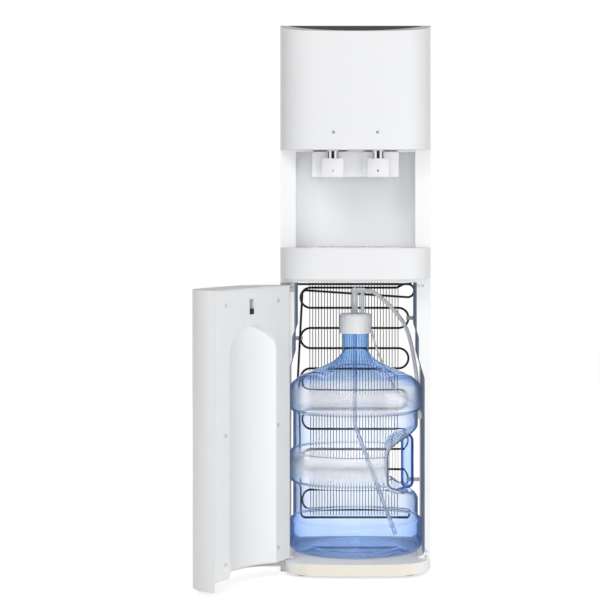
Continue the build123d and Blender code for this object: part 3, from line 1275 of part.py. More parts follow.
with BuildPart() as hot_line:
    with BuildLine() as hot_route:
        tap_line(-TAP_X, HOT_X, TANK_Y - HOT_RADIUS - HOT_FOAM)
    with BuildSketch(Plane((-TAP_X, TAP_Y, TAP_STEM_TOP))):
        Circle(TAP_LINE_RADIUS)
    sweep(path=hot_route.wire())
save(hot_line, "hot_line")

PUMP_Y = 70.0
PUMP_HIGH = 55.0

with BuildPart() as water_pump:
    with Locations((PUMP_X, PUMP_Y, DECK_TOP)):
        Cylinder(20.0, PUMP_HIGH, align=UPRIGHT)
        Cylinder(26.0, 12.0, align=UPRIGHT)
    chamfer(water_pump.edges().filter_by(GeomType.CIRCLE).sort_by(Axis.Z)[-1], 4)
save(water_pump, "water_pump")

with BuildPart() as feed_line:
    with BuildLine() as feed_route:
        Line((PUMP_X, PUMP_Y, DECK_TOP + PUMP_HIGH), (PUMP_X, PUMP_Y, SHELF_TOP - SHELF_THICK))
    with BuildSketch(Plane((PUMP_X, PUMP_Y, DECK_TOP + PUMP_HIGH))):
        Circle(4.0)
    sweep(path=feed_route.wire())
save(feed_line, "feed_line")

CONTROL_HALF = 70.0
CONTROL_LOW = TAP_LINE_Z + 12.0
CONTROL_HIGH = 60.0
CONTROL_FRONT = PANEL_FRONT - 20.0
BOSS_X = CONTROL_HALF - 10.0

with BuildPart() as control_box:
    block(
        -CONTROL_HALF,
        CONTROL_HALF,
        CONTROL_FRONT,
        PANEL_FRONT + 10,
        CONTROL_LOW,
        CONTROL_LOW + CONTROL_HIGH,
    )
    fascia_inside = BOW_CENTRE - sqrt((FRONT_RADIUS - WALL) ** 2 - BOSS_X**2)
    for boss_x in (-BOSS_X, BOSS_X):
        with Locations(Location((boss_x, CONTROL_FRONT, CONTROL_LOW + CONTROL_HIGH / 2), (90, 0, 0))):
            Cylinder(5.0, CONTROL_FRONT - fascia_inside - 1.0, align=UPRIGHT)
save(control_box, "control_box")

# ---------------------------------------------------------------- rear cover and what it carries
COVER_SHEET = 1.2
COVER_LOW = DECK_BOTTOM + 3.5
LOUVRE_Z = TOP_UNDERSIDE - 158.0  # middle of the louvres
SWITCH_Z = DECK_TOP + 112.0
SWITCH_X = 60.0
SWITCH_WIDE = 13.0
SWITCH_HIGH = 20.0
SWITCH_PIVOT_Y = REAR - 4.0
INLET_Z = DECK_TOP + 52.0
DRAIN_X = -80.0
DRAIN_Z = DECK_TOP + 52.0

with BuildPart() as rear_cover:
    block(2 - WIDTH / 2, WIDTH / 2 - 2, REAR, REAR + COVER_SHEET, COVER_LOW, TOP_UNDERSIDE)
    with BuildSketch(Plane.XZ.offset(-REAR)):
        with Locations((0, LOUVRE_Z)):
            with GridLocations(90, 14, 2, 9):
                SlotOverall(70, 4)
    extrude(amount=-2 * COVER_SHEET, mode=Mode.SUBTRACT)
    for switch_x in (-SWITCH_X, SWITCH_X):
        block(
            switch_x - SWITCH_WIDE / 2,
            switch_x + SWITCH_WIDE / 2,
            REAR - 1,
            REAR + 4,
            SWITCH_Z - SWITCH_HIGH / 2,
            SWITCH_Z + SWITCH_HIGH / 2,
            mode=Mode.SUBTRACT,
        )
    for outlet in ((SWITCH_X, REAR, INLET_Z), (DRAIN_X, REAR, DRAIN_Z)):
        with Locations(Location(outlet, (90, 0, 0))):
            Cylinder(9.0, 10.0, mode=Mode.SUBTRACT)
save(rear_cover, "rear_cover")


def rocker(x):
    """Rocker switch key with its two pivot stubs."""
    half = SWITCH_WIDE / 2 - 2.2
    with BuildSketch(Plane.YZ.offset(x - half)) as key:
        with BuildLine():
            Polyline(
                (REAR + COVER_SHEET + 1.5, SWITCH_Z),
                (REAR + COVER_SHEET + 3.5, SWITCH_Z + 7),
                (REAR - 6, SWITCH_Z + 5),
                (REAR - 6, SWITCH_Z - 5),
                (REAR + COVER_SHEET + 3.5, SWITCH_Z - 7),
                close=True,
            )
        make_face()
    extrude(key.sketch, amount=2 * half)
    with Locations(Location((x, SWITCH_PIVOT_Y, SWITCH_Z), (0, 90, 0))):
        Cylinder(1.2, 2 * half + 3)


def rocker_frame(x):
    """Bezel and body that hold one rocker."""
    half_x = SWITCH_WIDE / 2
    half_z = SWITCH_HIGH / 2
    skin = REAR + COVER_SHEET
    rim_x = half_x + 1.5
    rim_z = half_z + 1.5
    block(x - rim_x, x + rim_x, skin, skin + 1.5, SWITCH_Z - rim_z, SWITCH_Z + rim_z)
    block(x - half_x + 0.1, x + half_x - 0.1, REAR - 14, skin, SWITCH_Z - half_z + 0.1, SWITCH_Z + half_z - 0.1)
    well_x = half_x - 2
    well_z = half_z - 2
    block(x - well_x, x + well_x, REAR - 9, skin + 2, SWITCH_Z - well_z, SWITCH_Z + well_z, Mode.SUBTRACT)
    with Locations(Location((x, SWITCH_PIVOT_Y, SWITCH_Z), (0, 90, 0))):
        Cylinder(1.25, SWITCH_WIDE - 1.2, mode=Mode.SUBTRACT)


with BuildPart() as switch_frames:
    rocker_frame(-SWITCH_X)
    rocker_frame(SWITCH_X)
save(switch_frames, "switch_frames")

with BuildPart() as hot_switch:
    rocker(-SWITCH_X)
save(hot_switch, "hot_switch")

with BuildPart() as cold_switch:
    rocker(SWITCH_X)
save(cold_switch, "cold_switch")

with BuildPart() as power_inlet:
    with Locations(Location((SWITCH_X, REAR - 6, INLET_Z), (-90, 0, 0))):
        Cylinder(8.8, 6 + COVER_SHEET, align=UPRIGHT)
    with Locations(Location((SWITCH_X, REAR + COVER_SHEET, INLET_Z), (-90, 0, 0))):
        Cylinder(12.0, 3.0, align=UPRIGHT)
        Cylinder(7.0, 12.0, align=UPRIGHT)
        Cylinder(3.6, 30.0, mode=Mode.SUBTRACT)
save(power_inlet, "power_inlet")

with BuildPart() as drain_stub:
    with Locations(Location((DRAIN_X, REAR - 20, DRAIN_Z), (-90, 0, 0))):
        Cylinder(8.8, 20 + COVER_SHEET + 6, align=UPRIGHT)
        Cylinder(5.5, 60, align=UPRIGHT, mode=Mode.SUBTRACT)
    with Locations(Location((DRAIN_X, REAR - 5, DRAIN_Z), (-90, 0, 0))):
        Cylinder(13.0, 5.0, align=UPRIGHT)
        Cylinder(5.5, 5.0, align=UPRIGHT, mode=Mode.SUBTRACT)
save(drain_stub, "drain_stub")

with BuildPart() as drain_plug:
    with Locations(Location((DRAIN_X, REAR - 4, DRAIN_Z), (-90, 0, 0))):
        Cylinder(5.45, 4 + COVER_SHEET + 6 + 2, align=UPRIGHT)
    with Locations(Location((DRAIN_X, REAR + COVER_SHEET + 6 + 0.2, DRAIN_Z), (-90, 0, 0))):
        Cylinder(11.0, 6.0, align=UPRIGHT)
        with PolarLocations(11.6, 12):
            Cylinder(1.4, 8.0, align=UPRIGHT, mode=Mode.SUBTRACT)
save(drain_plug, "drain_plug")

# ---------------------------------------------------------------- indicator lamps and tap marks
with BuildPart() as indicator_lamps:
    for lamp_x in (-LAMP_X, LAMP_X):
        with Locations(Location((lamp_x, FRONT + 1.3, LAMP_Z), (-90, 0, 0))):
            Cylinder(LAMP_RADIUS - 0.05, 6.0, align=UPRIGHT)
save(indicator_lamps, "indicator_lamps")

# ---------------------------------------------------------------- hoses and the clip on the right wall
WALL_X = OPENING_LOW_HALF
CLIP_Z = 294.0
CLIP_Y = (100.0, 118.0)
CABLE_RADIUS = 2.0
CORD_FACETS = 10  # the cords stay plain

with BuildPart() as hose_clip:
    block(WALL_X - 10, WALL_X, CLIP_Y[0] - 8, CLIP_Y[1] + 8, CLIP_Z - 9, CLIP_Z + 4)
    with Locations((WALL_X - 5, CLIP_Y[0], CLIP_Z + 4)):
        Cylinder(HOSE_RADIUS + 0.1, 6, align=(Align.CENTER, Align.CENTER, Align.MAX), mode=Mode.SUBTRACT)
    with Locations((WALL_X - 5, CLIP_Y[1], CLIP_Z + 4)):
        Cylinder(CABLE_RADIUS + 0.1, 6, align=(Align.CENTER, Align.CENTER, Align.MAX), mode=Mode.SUBTRACT)
save(hose_clip, "hose_clip")


def limp_route(points):
    """Bend radii for a hose laid through the points, as wide as its shorter neighbouring run lets it."""
    radii = []
    for before, at, after in zip(points, points[1:], points[2:]):
        first = Vector(*at) - Vector(*before)
        second = Vector(*after) - Vector(*at)
        half_turn = radians(first.get_angle(second)) / 2
        radii.append(0.45 * min(first.length, second.length) / tan(half_turn))
    return radii


WATER_ROUTE = [
    (STEM_X + 5.3, BOTTLE_Y, HOSE_Z),
    (32, BOTTLE_Y, HOSE_Z),
    (47, 15, 548),
    (68, 24, 529),
    (88, 33, 507),
    (103, 43, 484),
    (111.5, 53, 461),
    (117, 62, 438),
    (121.5, 71, 414),
    (126, 80, 388),
    (129.5, 88, 361),
    (132, 95, 334),
    (WALL_X - 5, CLIP_Y[0], CLIP_Z + 16),
    (WALL_X - 5.05, CLIP_Y[0], CLIP_Z - 1.6),
]
CABLE_ROUTE = [
    (34, 20, 474),
    (37, 28, 457),
    (43, 39, 439),
    (50, 57, 418),
    (59, 83, 400),
    (68, 108, 382),
    (76, 130, 361),
    (90, 143, 337),
    (110, 138, 322),
    (126, 126, 316),
    (WALL_X - 5, CLIP_Y[1], CLIP_Z + 12),
    (WALL_X - 5, CLIP_Y[1], CLIP_Z - 1.6),
]
water_radii = limp_route(WATER_ROUTE)
cable_radii = limp_route(CABLE_ROUTE)
print("water hose bends", [round(r, 1) for r in water_radii])
print("sensor cable bends", [round(r, 1) for r in cable_radii])


def route_plane(points):
    """Plane across the start of a route."""
    return Plane(points[0], z_dir=Vector(*points[1]) - Vector(*points[0]))


with BuildPart() as water_hose:
    with BuildLine() as water_line:
        FilletPolyline(*WATER_ROUTE, radius=water_radii)
    with BuildSketch(route_plane(WATER_ROUTE)):
        RegularPolygon(HOSE_RADIUS, CORD_FACETS)
    sweep(path=water_line.wire())
print("water hose length", round(water_line.wire().length, 1))
save(water_hose, "water_hose")

with BuildPart() as sensor_cable:
    with BuildLine() as cable_line:
        FilletPolyline(*CABLE_ROUTE, radius=cable_radii)
    with BuildSketch(route_plane(CABLE_ROUTE)):
        RegularPolygon(CABLE_RADIUS, CORD_FACETS)
    sweep(path=cable_line.wire())
print("sensor cable length", round(cable_line.wire().length, 1))
save(sensor_cable, "sensor_cable")
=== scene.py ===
import math

import bpy
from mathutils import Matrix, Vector


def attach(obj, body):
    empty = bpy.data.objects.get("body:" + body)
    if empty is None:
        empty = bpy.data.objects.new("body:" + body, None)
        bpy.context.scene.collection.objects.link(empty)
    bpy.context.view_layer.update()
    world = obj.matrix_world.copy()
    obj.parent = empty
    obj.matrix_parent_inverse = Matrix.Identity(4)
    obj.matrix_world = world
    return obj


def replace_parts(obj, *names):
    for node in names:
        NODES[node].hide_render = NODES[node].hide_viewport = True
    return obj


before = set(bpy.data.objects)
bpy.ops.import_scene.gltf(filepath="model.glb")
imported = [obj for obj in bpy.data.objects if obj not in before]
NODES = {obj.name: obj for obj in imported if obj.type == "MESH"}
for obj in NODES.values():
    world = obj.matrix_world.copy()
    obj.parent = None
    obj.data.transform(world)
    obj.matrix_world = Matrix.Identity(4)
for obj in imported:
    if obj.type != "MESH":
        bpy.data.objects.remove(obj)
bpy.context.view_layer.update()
scene = bpy.context.scene
scene.view_settings.view_transform = "Standard"

WHITE = (1, 1, 1)
BLACK = (0, 0, 0)


# ---------------------------------------------------------------- camera
CAMERA_PLACE = (0.0, -4.014, 0.7334)
CAMERA_LENS = 117.6
CAMERA_SHIFT_X = -0.0925
CAMERA_SHIFT_Y = -0.1583

camera_data = bpy.data.cameras.new("camera")
camera_data.sensor_width = 36.0
camera_data.lens = CAMERA_LENS
camera_data.shift_x = CAMERA_SHIFT_X
camera_data.shift_y = CAMERA_SHIFT_Y
camera_data.clip_end = 100.0
camera = bpy.data.objects.new("camera", camera_data)
camera.location = CAMERA_PLACE
camera.rotation_euler = (math.radians(90), 0, 0)
scene.collection.objects.link(camera)
scene.camera = camera


# ---------------------------------------------------------------- node helpers
# places of the colour sockets on a Mix node
MIX_FACTOR, MIX_FIRST, MIX_SECOND = 0, 6, 7
MIX_COLOUR = 2


def new_material(name):
    """An empty node material with its output and a Principled shader."""
    material = bpy.data.materials.new(name)
    material.use_nodes = True
    tree = material.node_tree
    tree.nodes.clear()
    out = tree.nodes.new("ShaderNodeOutputMaterial")
    shader = tree.nodes.new("ShaderNodeBsdfPrincipled")
    tree.links.new(shader.outputs[0], out.inputs[0])
    return material, tree, shader


def noise(tree, scale, detail=3.0, rough=0.5, stretch=(1, 1, 1)):
    """Noise over the object's own coordinates, with a stretch along each axis."""
    place = tree.nodes.new("ShaderNodeTexCoord")
    mapping = tree.nodes.new("ShaderNodeMapping")
    mapping.inputs["Scale"].default_value = stretch
    texture = tree.nodes.new("ShaderNodeTexNoise")
    texture.inputs["Scale"].default_value = scale
    texture.inputs["Detail"].default_value = detail
    texture.inputs["Roughness"].default_value = rough
    tree.links.new(place.outputs["Object"], mapping.inputs[0])
    tree.links.new(mapping.outputs[0], texture.inputs["Vector"])
    return texture.outputs["Fac"]


def spread(tree, value, low, high):
    """A value between 0 and 1 spread over a range of numbers."""
    node = tree.nodes.new("ShaderNodeMapRange")
    node.inputs["To Min"].default_value = low
    node.inputs["To Max"].default_value = high
    tree.links.new(value, node.inputs["Value"])
    return node.outputs[0]


def shades(tree, value, dark, light):
    """A colour between two shades."""
    node = tree.nodes.new("ShaderNodeMix")
    node.data_type = "RGBA"
    node.inputs[MIX_FIRST].default_value = (*dark, 1)
    node.inputs[MIX_SECOND].default_value = (*light, 1)
    tree.links.new(value, node.inputs[MIX_FACTOR])
    return node.outputs[MIX_COLOUR]


def blended(tree, share, first, second, way="MIX"):
    """A socket's colour blended with a second colour by a share."""
    node = tree.nodes.new("ShaderNodeMix")
    node.data_type = "RGBA"
    node.blend_type = way
    node.inputs[MIX_SECOND].default_value = (*second, 1)
    tree.links.new(share, node.inputs[MIX_FACTOR])
    tree.links.new(first, node.inputs[MIX_FIRST])
    return node.outputs[MIX_COLOUR]


def greatest(tree, first, second):
    """The greater of two values."""
    node = tree.nodes.new("ShaderNodeMath")
    node.operation = "MAXIMUM"
    tree.links.new(first, node.inputs[0])
    tree.links.new(second, node.inputs[1])
    return node.outputs[0]


def bump(tree, shader, value, depth, strength):
    """Fine relief from a value."""
    node = tree.nodes.new("ShaderNodeBump")
    node.inputs["Strength"].default_value = strength
    node.inputs["Distance"].default_value = depth
    tree.links.new(value, node.inputs["Height"])
    tree.links.new(node.outputs[0], shader.inputs["Normal"])


def facing(tree, axis):
    """How much a surface faces along one of the object's own axes, without sign."""
    place = tree.nodes.new("ShaderNodeTexCoord")
    parts = tree.nodes.new("ShaderNodeSeparateXYZ")
    size = tree.nodes.new("ShaderNodeMath")
    size.operation = "ABSOLUTE"
    tree.links.new(place.outputs["Normal"], parts.inputs[0])
    tree.links.new(parts.outputs[axis], size.inputs[0])
    return size.outputs[0]


def ramp(tree, value, stops):
    """Colours along a value, one for each stop."""
    node = tree.nodes.new("ShaderNodeValToRGB")
    elements = node.color_ramp.elements
    while len(elements) < len(stops):
        elements.new(0.5)
    for element, (place, colour) in zip(elements, stops):
        element.position = place
        element.color = (*colour, 1)
    tree.links.new(value, node.inputs[0])
    return node.outputs[0]


# ---------------------------------------------------------------- kinds of material
SIDE_STOPS = ((0.6, BLACK), (0.9, WHITE))  # how squarely a surface must face to take the side colour


def plastic(name, colour, rough, grain=0.0, vary=0.02, side=None, axis="X", shine=0.5):
    """Moulded plastic: faint cloudiness, a slightly uneven gloss and a fine grain.

    Surfaces that face along the axis take the side colour, where one is given.
    """
    material, tree, shader = new_material(name)
    cloud = noise(tree, scale=9.0, detail=4.0)
    dark = tuple(c * (1 - vary) for c in colour)
    tint = shades(tree, cloud, dark, colour)
    if side:
        turned = ramp(tree, facing(tree, axis), SIDE_STOPS)
        tint = blended(tree, turned, tint, side)
    tree.links.new(tint, shader.inputs["Base Color"])
    gloss = noise(tree, scale=60.0)
    tree.links.new(spread(tree, gloss, rough * 0.85, rough * 1.15), shader.inputs["Roughness"])
    bump(tree, shader, noise(tree, scale=1400.0, detail=2.0), depth=0.0002, strength=0.04 + grain)
    shader.inputs["Specular IOR Level"].default_value = shine
    return material


def metal(name, colour, rough, stretch=(1, 1, 1), metallic=1.0):
    """Metal with a faint directional finish."""
    material, tree, shader = new_material(name)
    shader.inputs["Metallic"].default_value = metallic
    cloud = noise(tree, scale=30.0, detail=4.0)
    dark = tuple(c * 0.9 for c in colour)
    tree.links.new(shades(tree, cloud, dark, colour), shader.inputs["Base Color"])
    lines = noise(tree, scale=300.0, detail=2.0, rough=0.6, stretch=stretch)
    tree.links.new(spread(tree, lines, rough * 0.7, rough * 1.3), shader.inputs["Roughness"])
    bump(tree, shader, lines, depth=0.0001, strength=0.1)
    return material


def clear(name, colour, rough, ior, weight=1.0):
    """See-through plastic with faint flow marks."""
    material, tree, shader = new_material(name)
    cloud = noise(tree, scale=14.0)
    dark = tuple(c * 0.94 for c in colour)
    tree.links.new(shades(tree, cloud, dark, colour), shader.inputs["Base Color"])
    shader.inputs["Transmission Weight"].default_value = weight
    shader.inputs["IOR"].default_value = ior
    haze = spread(tree, noise(tree, scale=40.0), rough * 0.7, rough * 1.3)
    tree.links.new(haze, shader.inputs["Roughness"])
    bump(tree, shader, noise(tree, scale=25.0, detail=2.0), depth=0.001, strength=0.05)
    return material


def blown_blue(name, tints, frost, rim, rim_from, rim_to):
    """Blow-moulded blue plastic: tint and frost change with height, and it deepens at its rim.

    The tints and the frost are given by height. The rim's colour comes in between two values of
    how much the surface turns away, as thick glass does.
    """
    material, tree, shader = new_material(name)
    low, high = tints[0][0], tints[-1][0]
    span = high - low
    place = tree.nodes.new("ShaderNodeTexCoord")
    parts = tree.nodes.new("ShaderNodeSeparateXYZ")
    tree.links.new(place.outputs["Object"], parts.inputs[0])
    level = tree.nodes.new("ShaderNodeMapRange")
    level.inputs["From Min"].default_value = low
    level.inputs["From Max"].default_value = high
    tree.links.new(parts.outputs["Z"], level.inputs["Value"])
    tint_stops = [((z - low) / span, colour) for z, colour in tints]
    frost_stops = [((z - low) / span, (rough, rough, rough)) for z, rough in frost]
    tint = ramp(tree, level.outputs[0], tint_stops)
    haze = ramp(tree, level.outputs[0], frost_stops)
    edge = tree.nodes.new("ShaderNodeLayerWeight")
    edge.inputs["Blend"].default_value = 0.5
    near_rim = ramp(tree, edge.outputs["Facing"], ((rim_from, BLACK), (rim_to, WHITE)))
    tree.links.new(blended(tree, near_rim, tint, rim, "MULTIPLY"), shader.inputs["Base Color"])
    tree.links.new(haze, shader.inputs["Roughness"])
    shader.inputs["Transmission Weight"].default_value = 1.0
    shader.inputs["IOR"].default_value = 1.3
    flow = noise(tree, scale=14.0, detail=2.0, stretch=(1, 1, 0.5))
    bump(tree, shader, flow, depth=0.001, strength=0.05)
    return material


# ---------------------------------------------------------------- materials
white_gloss = plastic("white_gloss", (0.86, 0.865, 0.875), 0.38)
cap_white = plastic("cap_white", (0.96, 0.965, 0.975), 0.4, 0.05)
white_satin = plastic("white_satin", (0.93, 0.94, 0.95), 0.4, 0.05)
white_paint = plastic("white_paint", (0.85, 0.855, 0.86), 0.35, 0.03)
# the compartment's inner walls are white plastic; where they face sideways they take a slate colour
# that is painted shade with a painted reflection of the blue bottle
liner_painted_shade = plastic(
    "liner_painted_shade",
    (0.94, 0.945, 0.955),
    0.35,
    0.05,
    # side colour: painted shade and painted reflection of the blue bottle, not the liner's own
    # colour
    side=(0.32, 0.38, 0.50),
    axis="X",
    shine=0.0,
)
niche_white = plastic("niche_white", (0.96, 0.965, 0.975), 0.45, 0.03)
clip_grey = plastic("clip_grey", (0.62, 0.63, 0.65), 0.45, 0.05)
# the plinth is cream on its front and white on top
warm_white = plastic("warm_white", (0.97, 0.97, 0.98), 0.45, 0.05, side=(0.90, 0.86, 0.75), axis="Y")
navy = plastic("navy", (0.02, 0.025, 0.12), 0.3, vary=0.1)
mark_grey = plastic("mark_grey", (0.45, 0.46, 0.48), 0.3, vary=0.05)
dark_gloss = plastic("dark_gloss", (0.06, 0.05, 0.045), 0.06, vary=0.3)
black_plastic = plastic("black_plastic", (0.02, 0.02, 0.021), 0.4, 0.1, 0.3)
black_rubber = plastic("black_rubber", (0.02, 0.02, 0.02), 0.7, 0.2, 0.3)
black_steel = plastic("black_steel", (0.018, 0.015, 0.014), 0.35, 0.05, 0.3)
red_plastic = plastic("red_plastic", (0.5, 0.02, 0.015), 0.3, vary=0.1)
green_plastic = plastic("green_plastic", (0.02, 0.3, 0.06), 0.3, vary=0.1)
foam = plastic("foam", (0.78, 0.74, 0.6), 0.8, 0.4, 0.12)
lamp = plastic("lamp", (0.35, 0.36, 0.38), 0.2, vary=0.1)
chrome = metal("chrome", (0.86, 0.86, 0.87), 0.08)
zinc = metal("zinc", (0.62, 0.63, 0.64), 0.35, stretch=(1, 1, 8))
screw_zinc = metal("screw_zinc", (0.78, 0.78, 0.79), 0.5, metallic=0.35)
copper = metal("copper", (0.7, 0.35, 0.22), 0.3)
stainless = metal("stainless", (0.62, 0.62, 0.63), 0.3, stretch=(1, 1, 20))

BASE_BLUE = (0.66, 0.79, 1.0)
WALL_BLUE = (0.83, 0.87, 0.94)
LOW_RING_MILK = (0.94, 0.96, 0.99)
HIGH_RING_MILK = (0.92, 0.94, 0.98)
BOTTLE_TINTS = (
    (0.028, BASE_BLUE),
    (0.070, BASE_BLUE),
    (0.092, (0.72, 0.82, 0.98)),
    (0.104, WALL_BLUE),
    (0.176, WALL_BLUE),
    (0.188, LOW_RING_MILK),
    (0.222, LOW_RING_MILK),
    (0.234, WALL_BLUE),
    (0.314, WALL_BLUE),
    (0.324, HIGH_RING_MILK),
    (0.356, HIGH_RING_MILK),
    (0.368, (0.84, 0.89, 0.99)),
    (0.420, (0.56, 0.75, 1.00)),
    (0.501, (0.54, 0.74, 1.00)),
)
SMOOTH = 0.02
LOW_RING_FROST = 0.20
HIGH_RING_FROST = 0.15
BOTTLE_FROST = (
    (0.094, 0.03),
    (0.176, SMOOTH),
    (0.188, LOW_RING_FROST),
    (0.222, LOW_RING_FROST),
    (0.232, SMOOTH),
    (0.314, SMOOTH),
    (0.324, HIGH_RING_FROST),
    (0.354, HIGH_RING_FROST),
    (0.368, SMOOTH),
)
BOTTLE_RIM = (0.20, 0.40, 0.76)
GRIP_TINTS = ((0.145, (0.66, 0.77, 0.95)), (0.265, (0.66, 0.78, 0.95)))
GRIP_FROST = ((0.145, 0.03), (0.265, 0.03))
GRIP_RIM = (0.10, 0.18, 0.68)
blue_bottle = blown_blue("blue_bottle", BOTTLE_TINTS, BOTTLE_FROST, BOTTLE_RIM, 0.35, 0.85)
grip_blue = blown_blue("grip_blue", GRIP_TINTS, GRIP_FROST, GRIP_RIM, 0.18, 0.60)
clear_plastic = clear("clear_plastic", (0.95, 0.96, 0.98), 0.22, 1.3, 0.6)
pipe_clear = clear("pipe_clear", (0.84, 0.88, 0.95), 0.06, 1.25)
silicone = clear("silicone", (0.97, 0.98, 0.99), 0.35, 1.3, 0.25)

FINISH = {
    white_gloss: (
        "lower_fascia",
        "upper_fascia",
        "top_cover",
        "hot_paddle",
        "cold_paddle",
        "door_shell",
    ),
    cap_white: ("probe_cap",),
    liner_painted_shade: ("side_liner_left", "side_liner_right"),
    niche_white: ("niche_liner",),
    clip_grey: ("coil_clips",),
    white_satin: (
        "mid_deck",
        "drip_tray",
        "drip_grille",
        "door_liner",
        "door_bumper",
        "hinge_bushes",
        "control_box",
        "drain_stub",
        "drain_plug",
        "hose_clip",
    ),
    white_paint: ("side_panel_left", "side_panel_right"),
    warm_white: ("base_tray",),
    dark_gloss: ("top_insert",),
    black_plastic: ("catch_block", "terminal_cover", "water_pump", "switch_frames"),
    black_rubber: ("levelling_feet", "compressor_mounts", "power_inlet"),
    black_steel: ("condenser_tube", "condenser_wires", "compressor"),
    red_plastic: ("hot_switch",),
    green_plastic: ("cold_switch",),
    foam: ("cold_insulation", "hot_insulation"),
    lamp: ("indicator_lamps",),
    chrome: ("hot_tap_body", "cold_tap_body"),
    screw_zinc: ("door_screws",),
    zinc: ("strike_plate", "top_hinge", "bottom_hinge", "tank_shelf", "rear_cover"),
    copper: ("filter_drier",),
    stainless: ("cold_tank", "hot_tank"),
    clear_plastic: ("cap_fitting",),
    pipe_clear: ("dip_pipe",),
    silicone: ("cold_line", "hot_line", "feed_line"),
}
for finish, names in FINISH.items():
    for name in names:
        mesh = NODES[name].data
        mesh.materials.clear()
        mesh.materials.append(finish)


# ---------------------------------------------------------------- pieces made of vertices
def new_piece(name, verts, faces, finish, body="cabinet"):
    """One smooth mesh piece that rides with a body."""
    mesh = bpy.data.meshes.new(name)
    mesh.from_pydata(verts, [], faces)
    mesh.materials.append(finish)
    for polygon in mesh.polygons:
        polygon.use_smooth = True
    mesh.update()
    piece = bpy.data.objects.new(name, mesh)
    scene.collection.objects.link(piece)
    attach(piece, body)
    return piece


def ring_faces(rings, segments, base=0):
    """Faces between rings of vertices that follow each other, from a first vertex on."""
    faces = []
    for ring in range(rings - 1):
        for i in range(segments):
            j = (i + 1) % segments
            low = base + ring * segments
            high = low + segments
            faces.append((low + i, low + j, high + j, high + i))
    return faces


def start_face(segments, base=0):
    """Face that closes the first ring."""
    return tuple(base + i for i in reversed(range(segments)))


def end_face(rings, segments, base=0):
    """Face that closes the last ring."""
    return tuple(base + (rings - 1) * segments + i for i in range(segments))


def turns(segments):
    """Angles that divide a full turn."""
    return [2 * math.pi * i / segments for i in range(segments)]


CORNER_SHARE = 0.48  # of a line's length, at most, that a rounded corner takes up


def rounded(points, radii, steps=5):
    """A line through the points whose corners are rounded, one radius for each inner point."""
    line = [Vector(points[0])]
    for before, corner, after, radius in zip(points, points[1:], points[2:], radii):
        corner = Vector(corner)
        back = Vector(before) - corner
        ahead = Vector(after) - corner
        turn = math.pi - back.angle(ahead)
        reach = radius * math.tan(turn / 2)
        reach = min(reach, CORNER_SHARE * back.length, CORNER_SHARE * ahead.length)
        start = corner + back.normalized() * reach
        end = corner + ahead.normalized() * reach
        for step in range(steps + 1):
            t = step / steps
            line.append(start.lerp(corner, t).lerp(corner.lerp(end, t), t))
    line.append(Vector(points[-1]))
    return line


def divided(line, longest):
    """The same line with points added where two lie further apart than allowed."""
    fine = [line[0]]
    for start, end in zip(line, line[1:]):
        count = max(1, math.ceil((end - start).length / longest))
        fine.extend(start.lerp(end, step / count) for step in range(1, count + 1))
    return fine


BOTTLE_WALL = 0.0018


def walled(piece):
    """Gives a blown skin its wall, and lets the studio's lamps through it."""
    wall = piece.modifiers.new("wall", "SOLIDIFY")
    wall.thickness = BOTTLE_WALL
    wall.offset = -1.0
    piece.visible_shadow = False
    piece.visible_diffuse = False
    return piece


# ---------------------------------------------------------------- bottle
BOTTLE_Y = 0.008
BOTTLE_SEGMENTS = 160
BOTTLE_STEP = 0.005
# radius and height of the corners, from the middle of the base to the mouth
BOTTLE_PROFILE = (
    (0.004, 0.034),
    (0.088, 0.034),
    (0.100, 0.028),
    (0.136, 0.028),
    (0.136, 0.091),
    (0.128, 0.097),
    (0.128, 0.168),
    (0.136, 0.174),
    (0.136, 0.230),
    (0.128, 0.236),
    (0.128, 0.312),
    (0.136, 0.318),
    (0.136, 0.358),
    (0.132, 0.368),
    (0.114, 0.384),
    (0.074, 0.3995),
    (0.046, 0.413),
    (0.031, 0.426),
    (0.0265, 0.436),
    (0.0265, 0.501),
)
RING_ROUNDING = 0.006
BASE_ROUNDING = 0.022
SHOULDER_ROUNDING = (0.012, 0.02, 0.03, 0.06, 0.05, 0.03, 0.02)
BOTTLE_ROUNDING = (
    (RING_ROUNDING,) * 2 + (BASE_ROUNDING,) + (RING_ROUNDING,) * 8 + SHOULDER_ROUNDING
)
# height, and how far along X the hand notch's wall lies there
NOTCH = (
    (0.124, 0.150),
    (0.151, 0.113),
    (0.160, 0.080),
    (0.172, 0.066),
    (0.238, 0.066),
    (0.253, 0.080),
    (0.273, 0.123),
    (0.292, 0.150),
)
NOTCH_ROUNDING = 0.011
NOTCH_SPREAD = 0.006
NOTCH_COSINE = 0.2  # the notch reaches round to this cosine from +X
NOTCH_RADIUS = 0.03  # narrower rings, in the base and the neck, have no notch


def notch_at(z):
    """Where the notch's wall lies along X at a height."""
    if z <= NOTCH[0][0] or z >= NOTCH[-1][0]:
        return NOTCH[0][1]
    for (low, near), (high, far) in zip(NOTCH, NOTCH[1:]):
        if low <= z <= high:
            return near + (far - near) * (z - low) / (high - low)


def soft_least(a, b, blend):
    """The smaller of two lengths, rounded where they cross."""
    share = min(1.0, max(0.0, 0.5 + 0.5 * (b - a) / blend))
    return b + (a - b) * share - blend * share * (1 - share)


def blown_bottle():
    """The bottle as one blown wall: a turned profile whose right side gives way to the notch."""
    profile = divided(rounded(BOTTLE_PROFILE, BOTTLE_ROUNDING), BOTTLE_STEP)
    verts = []
    for radius, z in profile:
        notch = sum(notch_at(z + k * NOTCH_SPREAD) for k in (-1, 0, 1)) / 3
        for angle in turns(BOTTLE_SEGMENTS):
            reach = radius
            if math.cos(angle) > NOTCH_COSINE and radius > NOTCH_RADIUS:
                reach = soft_least(radius, notch / math.cos(angle), NOTCH_ROUNDING)
            verts.append((reach * math.cos(angle), BOTTLE_Y + reach * math.sin(angle), z))
    faces = ring_faces(len(profile), BOTTLE_SEGMENTS)
    faces.append(start_face(BOTTLE_SEGMENTS))
    return walled(new_piece("blown_bottle", verts, faces, blue_bottle))


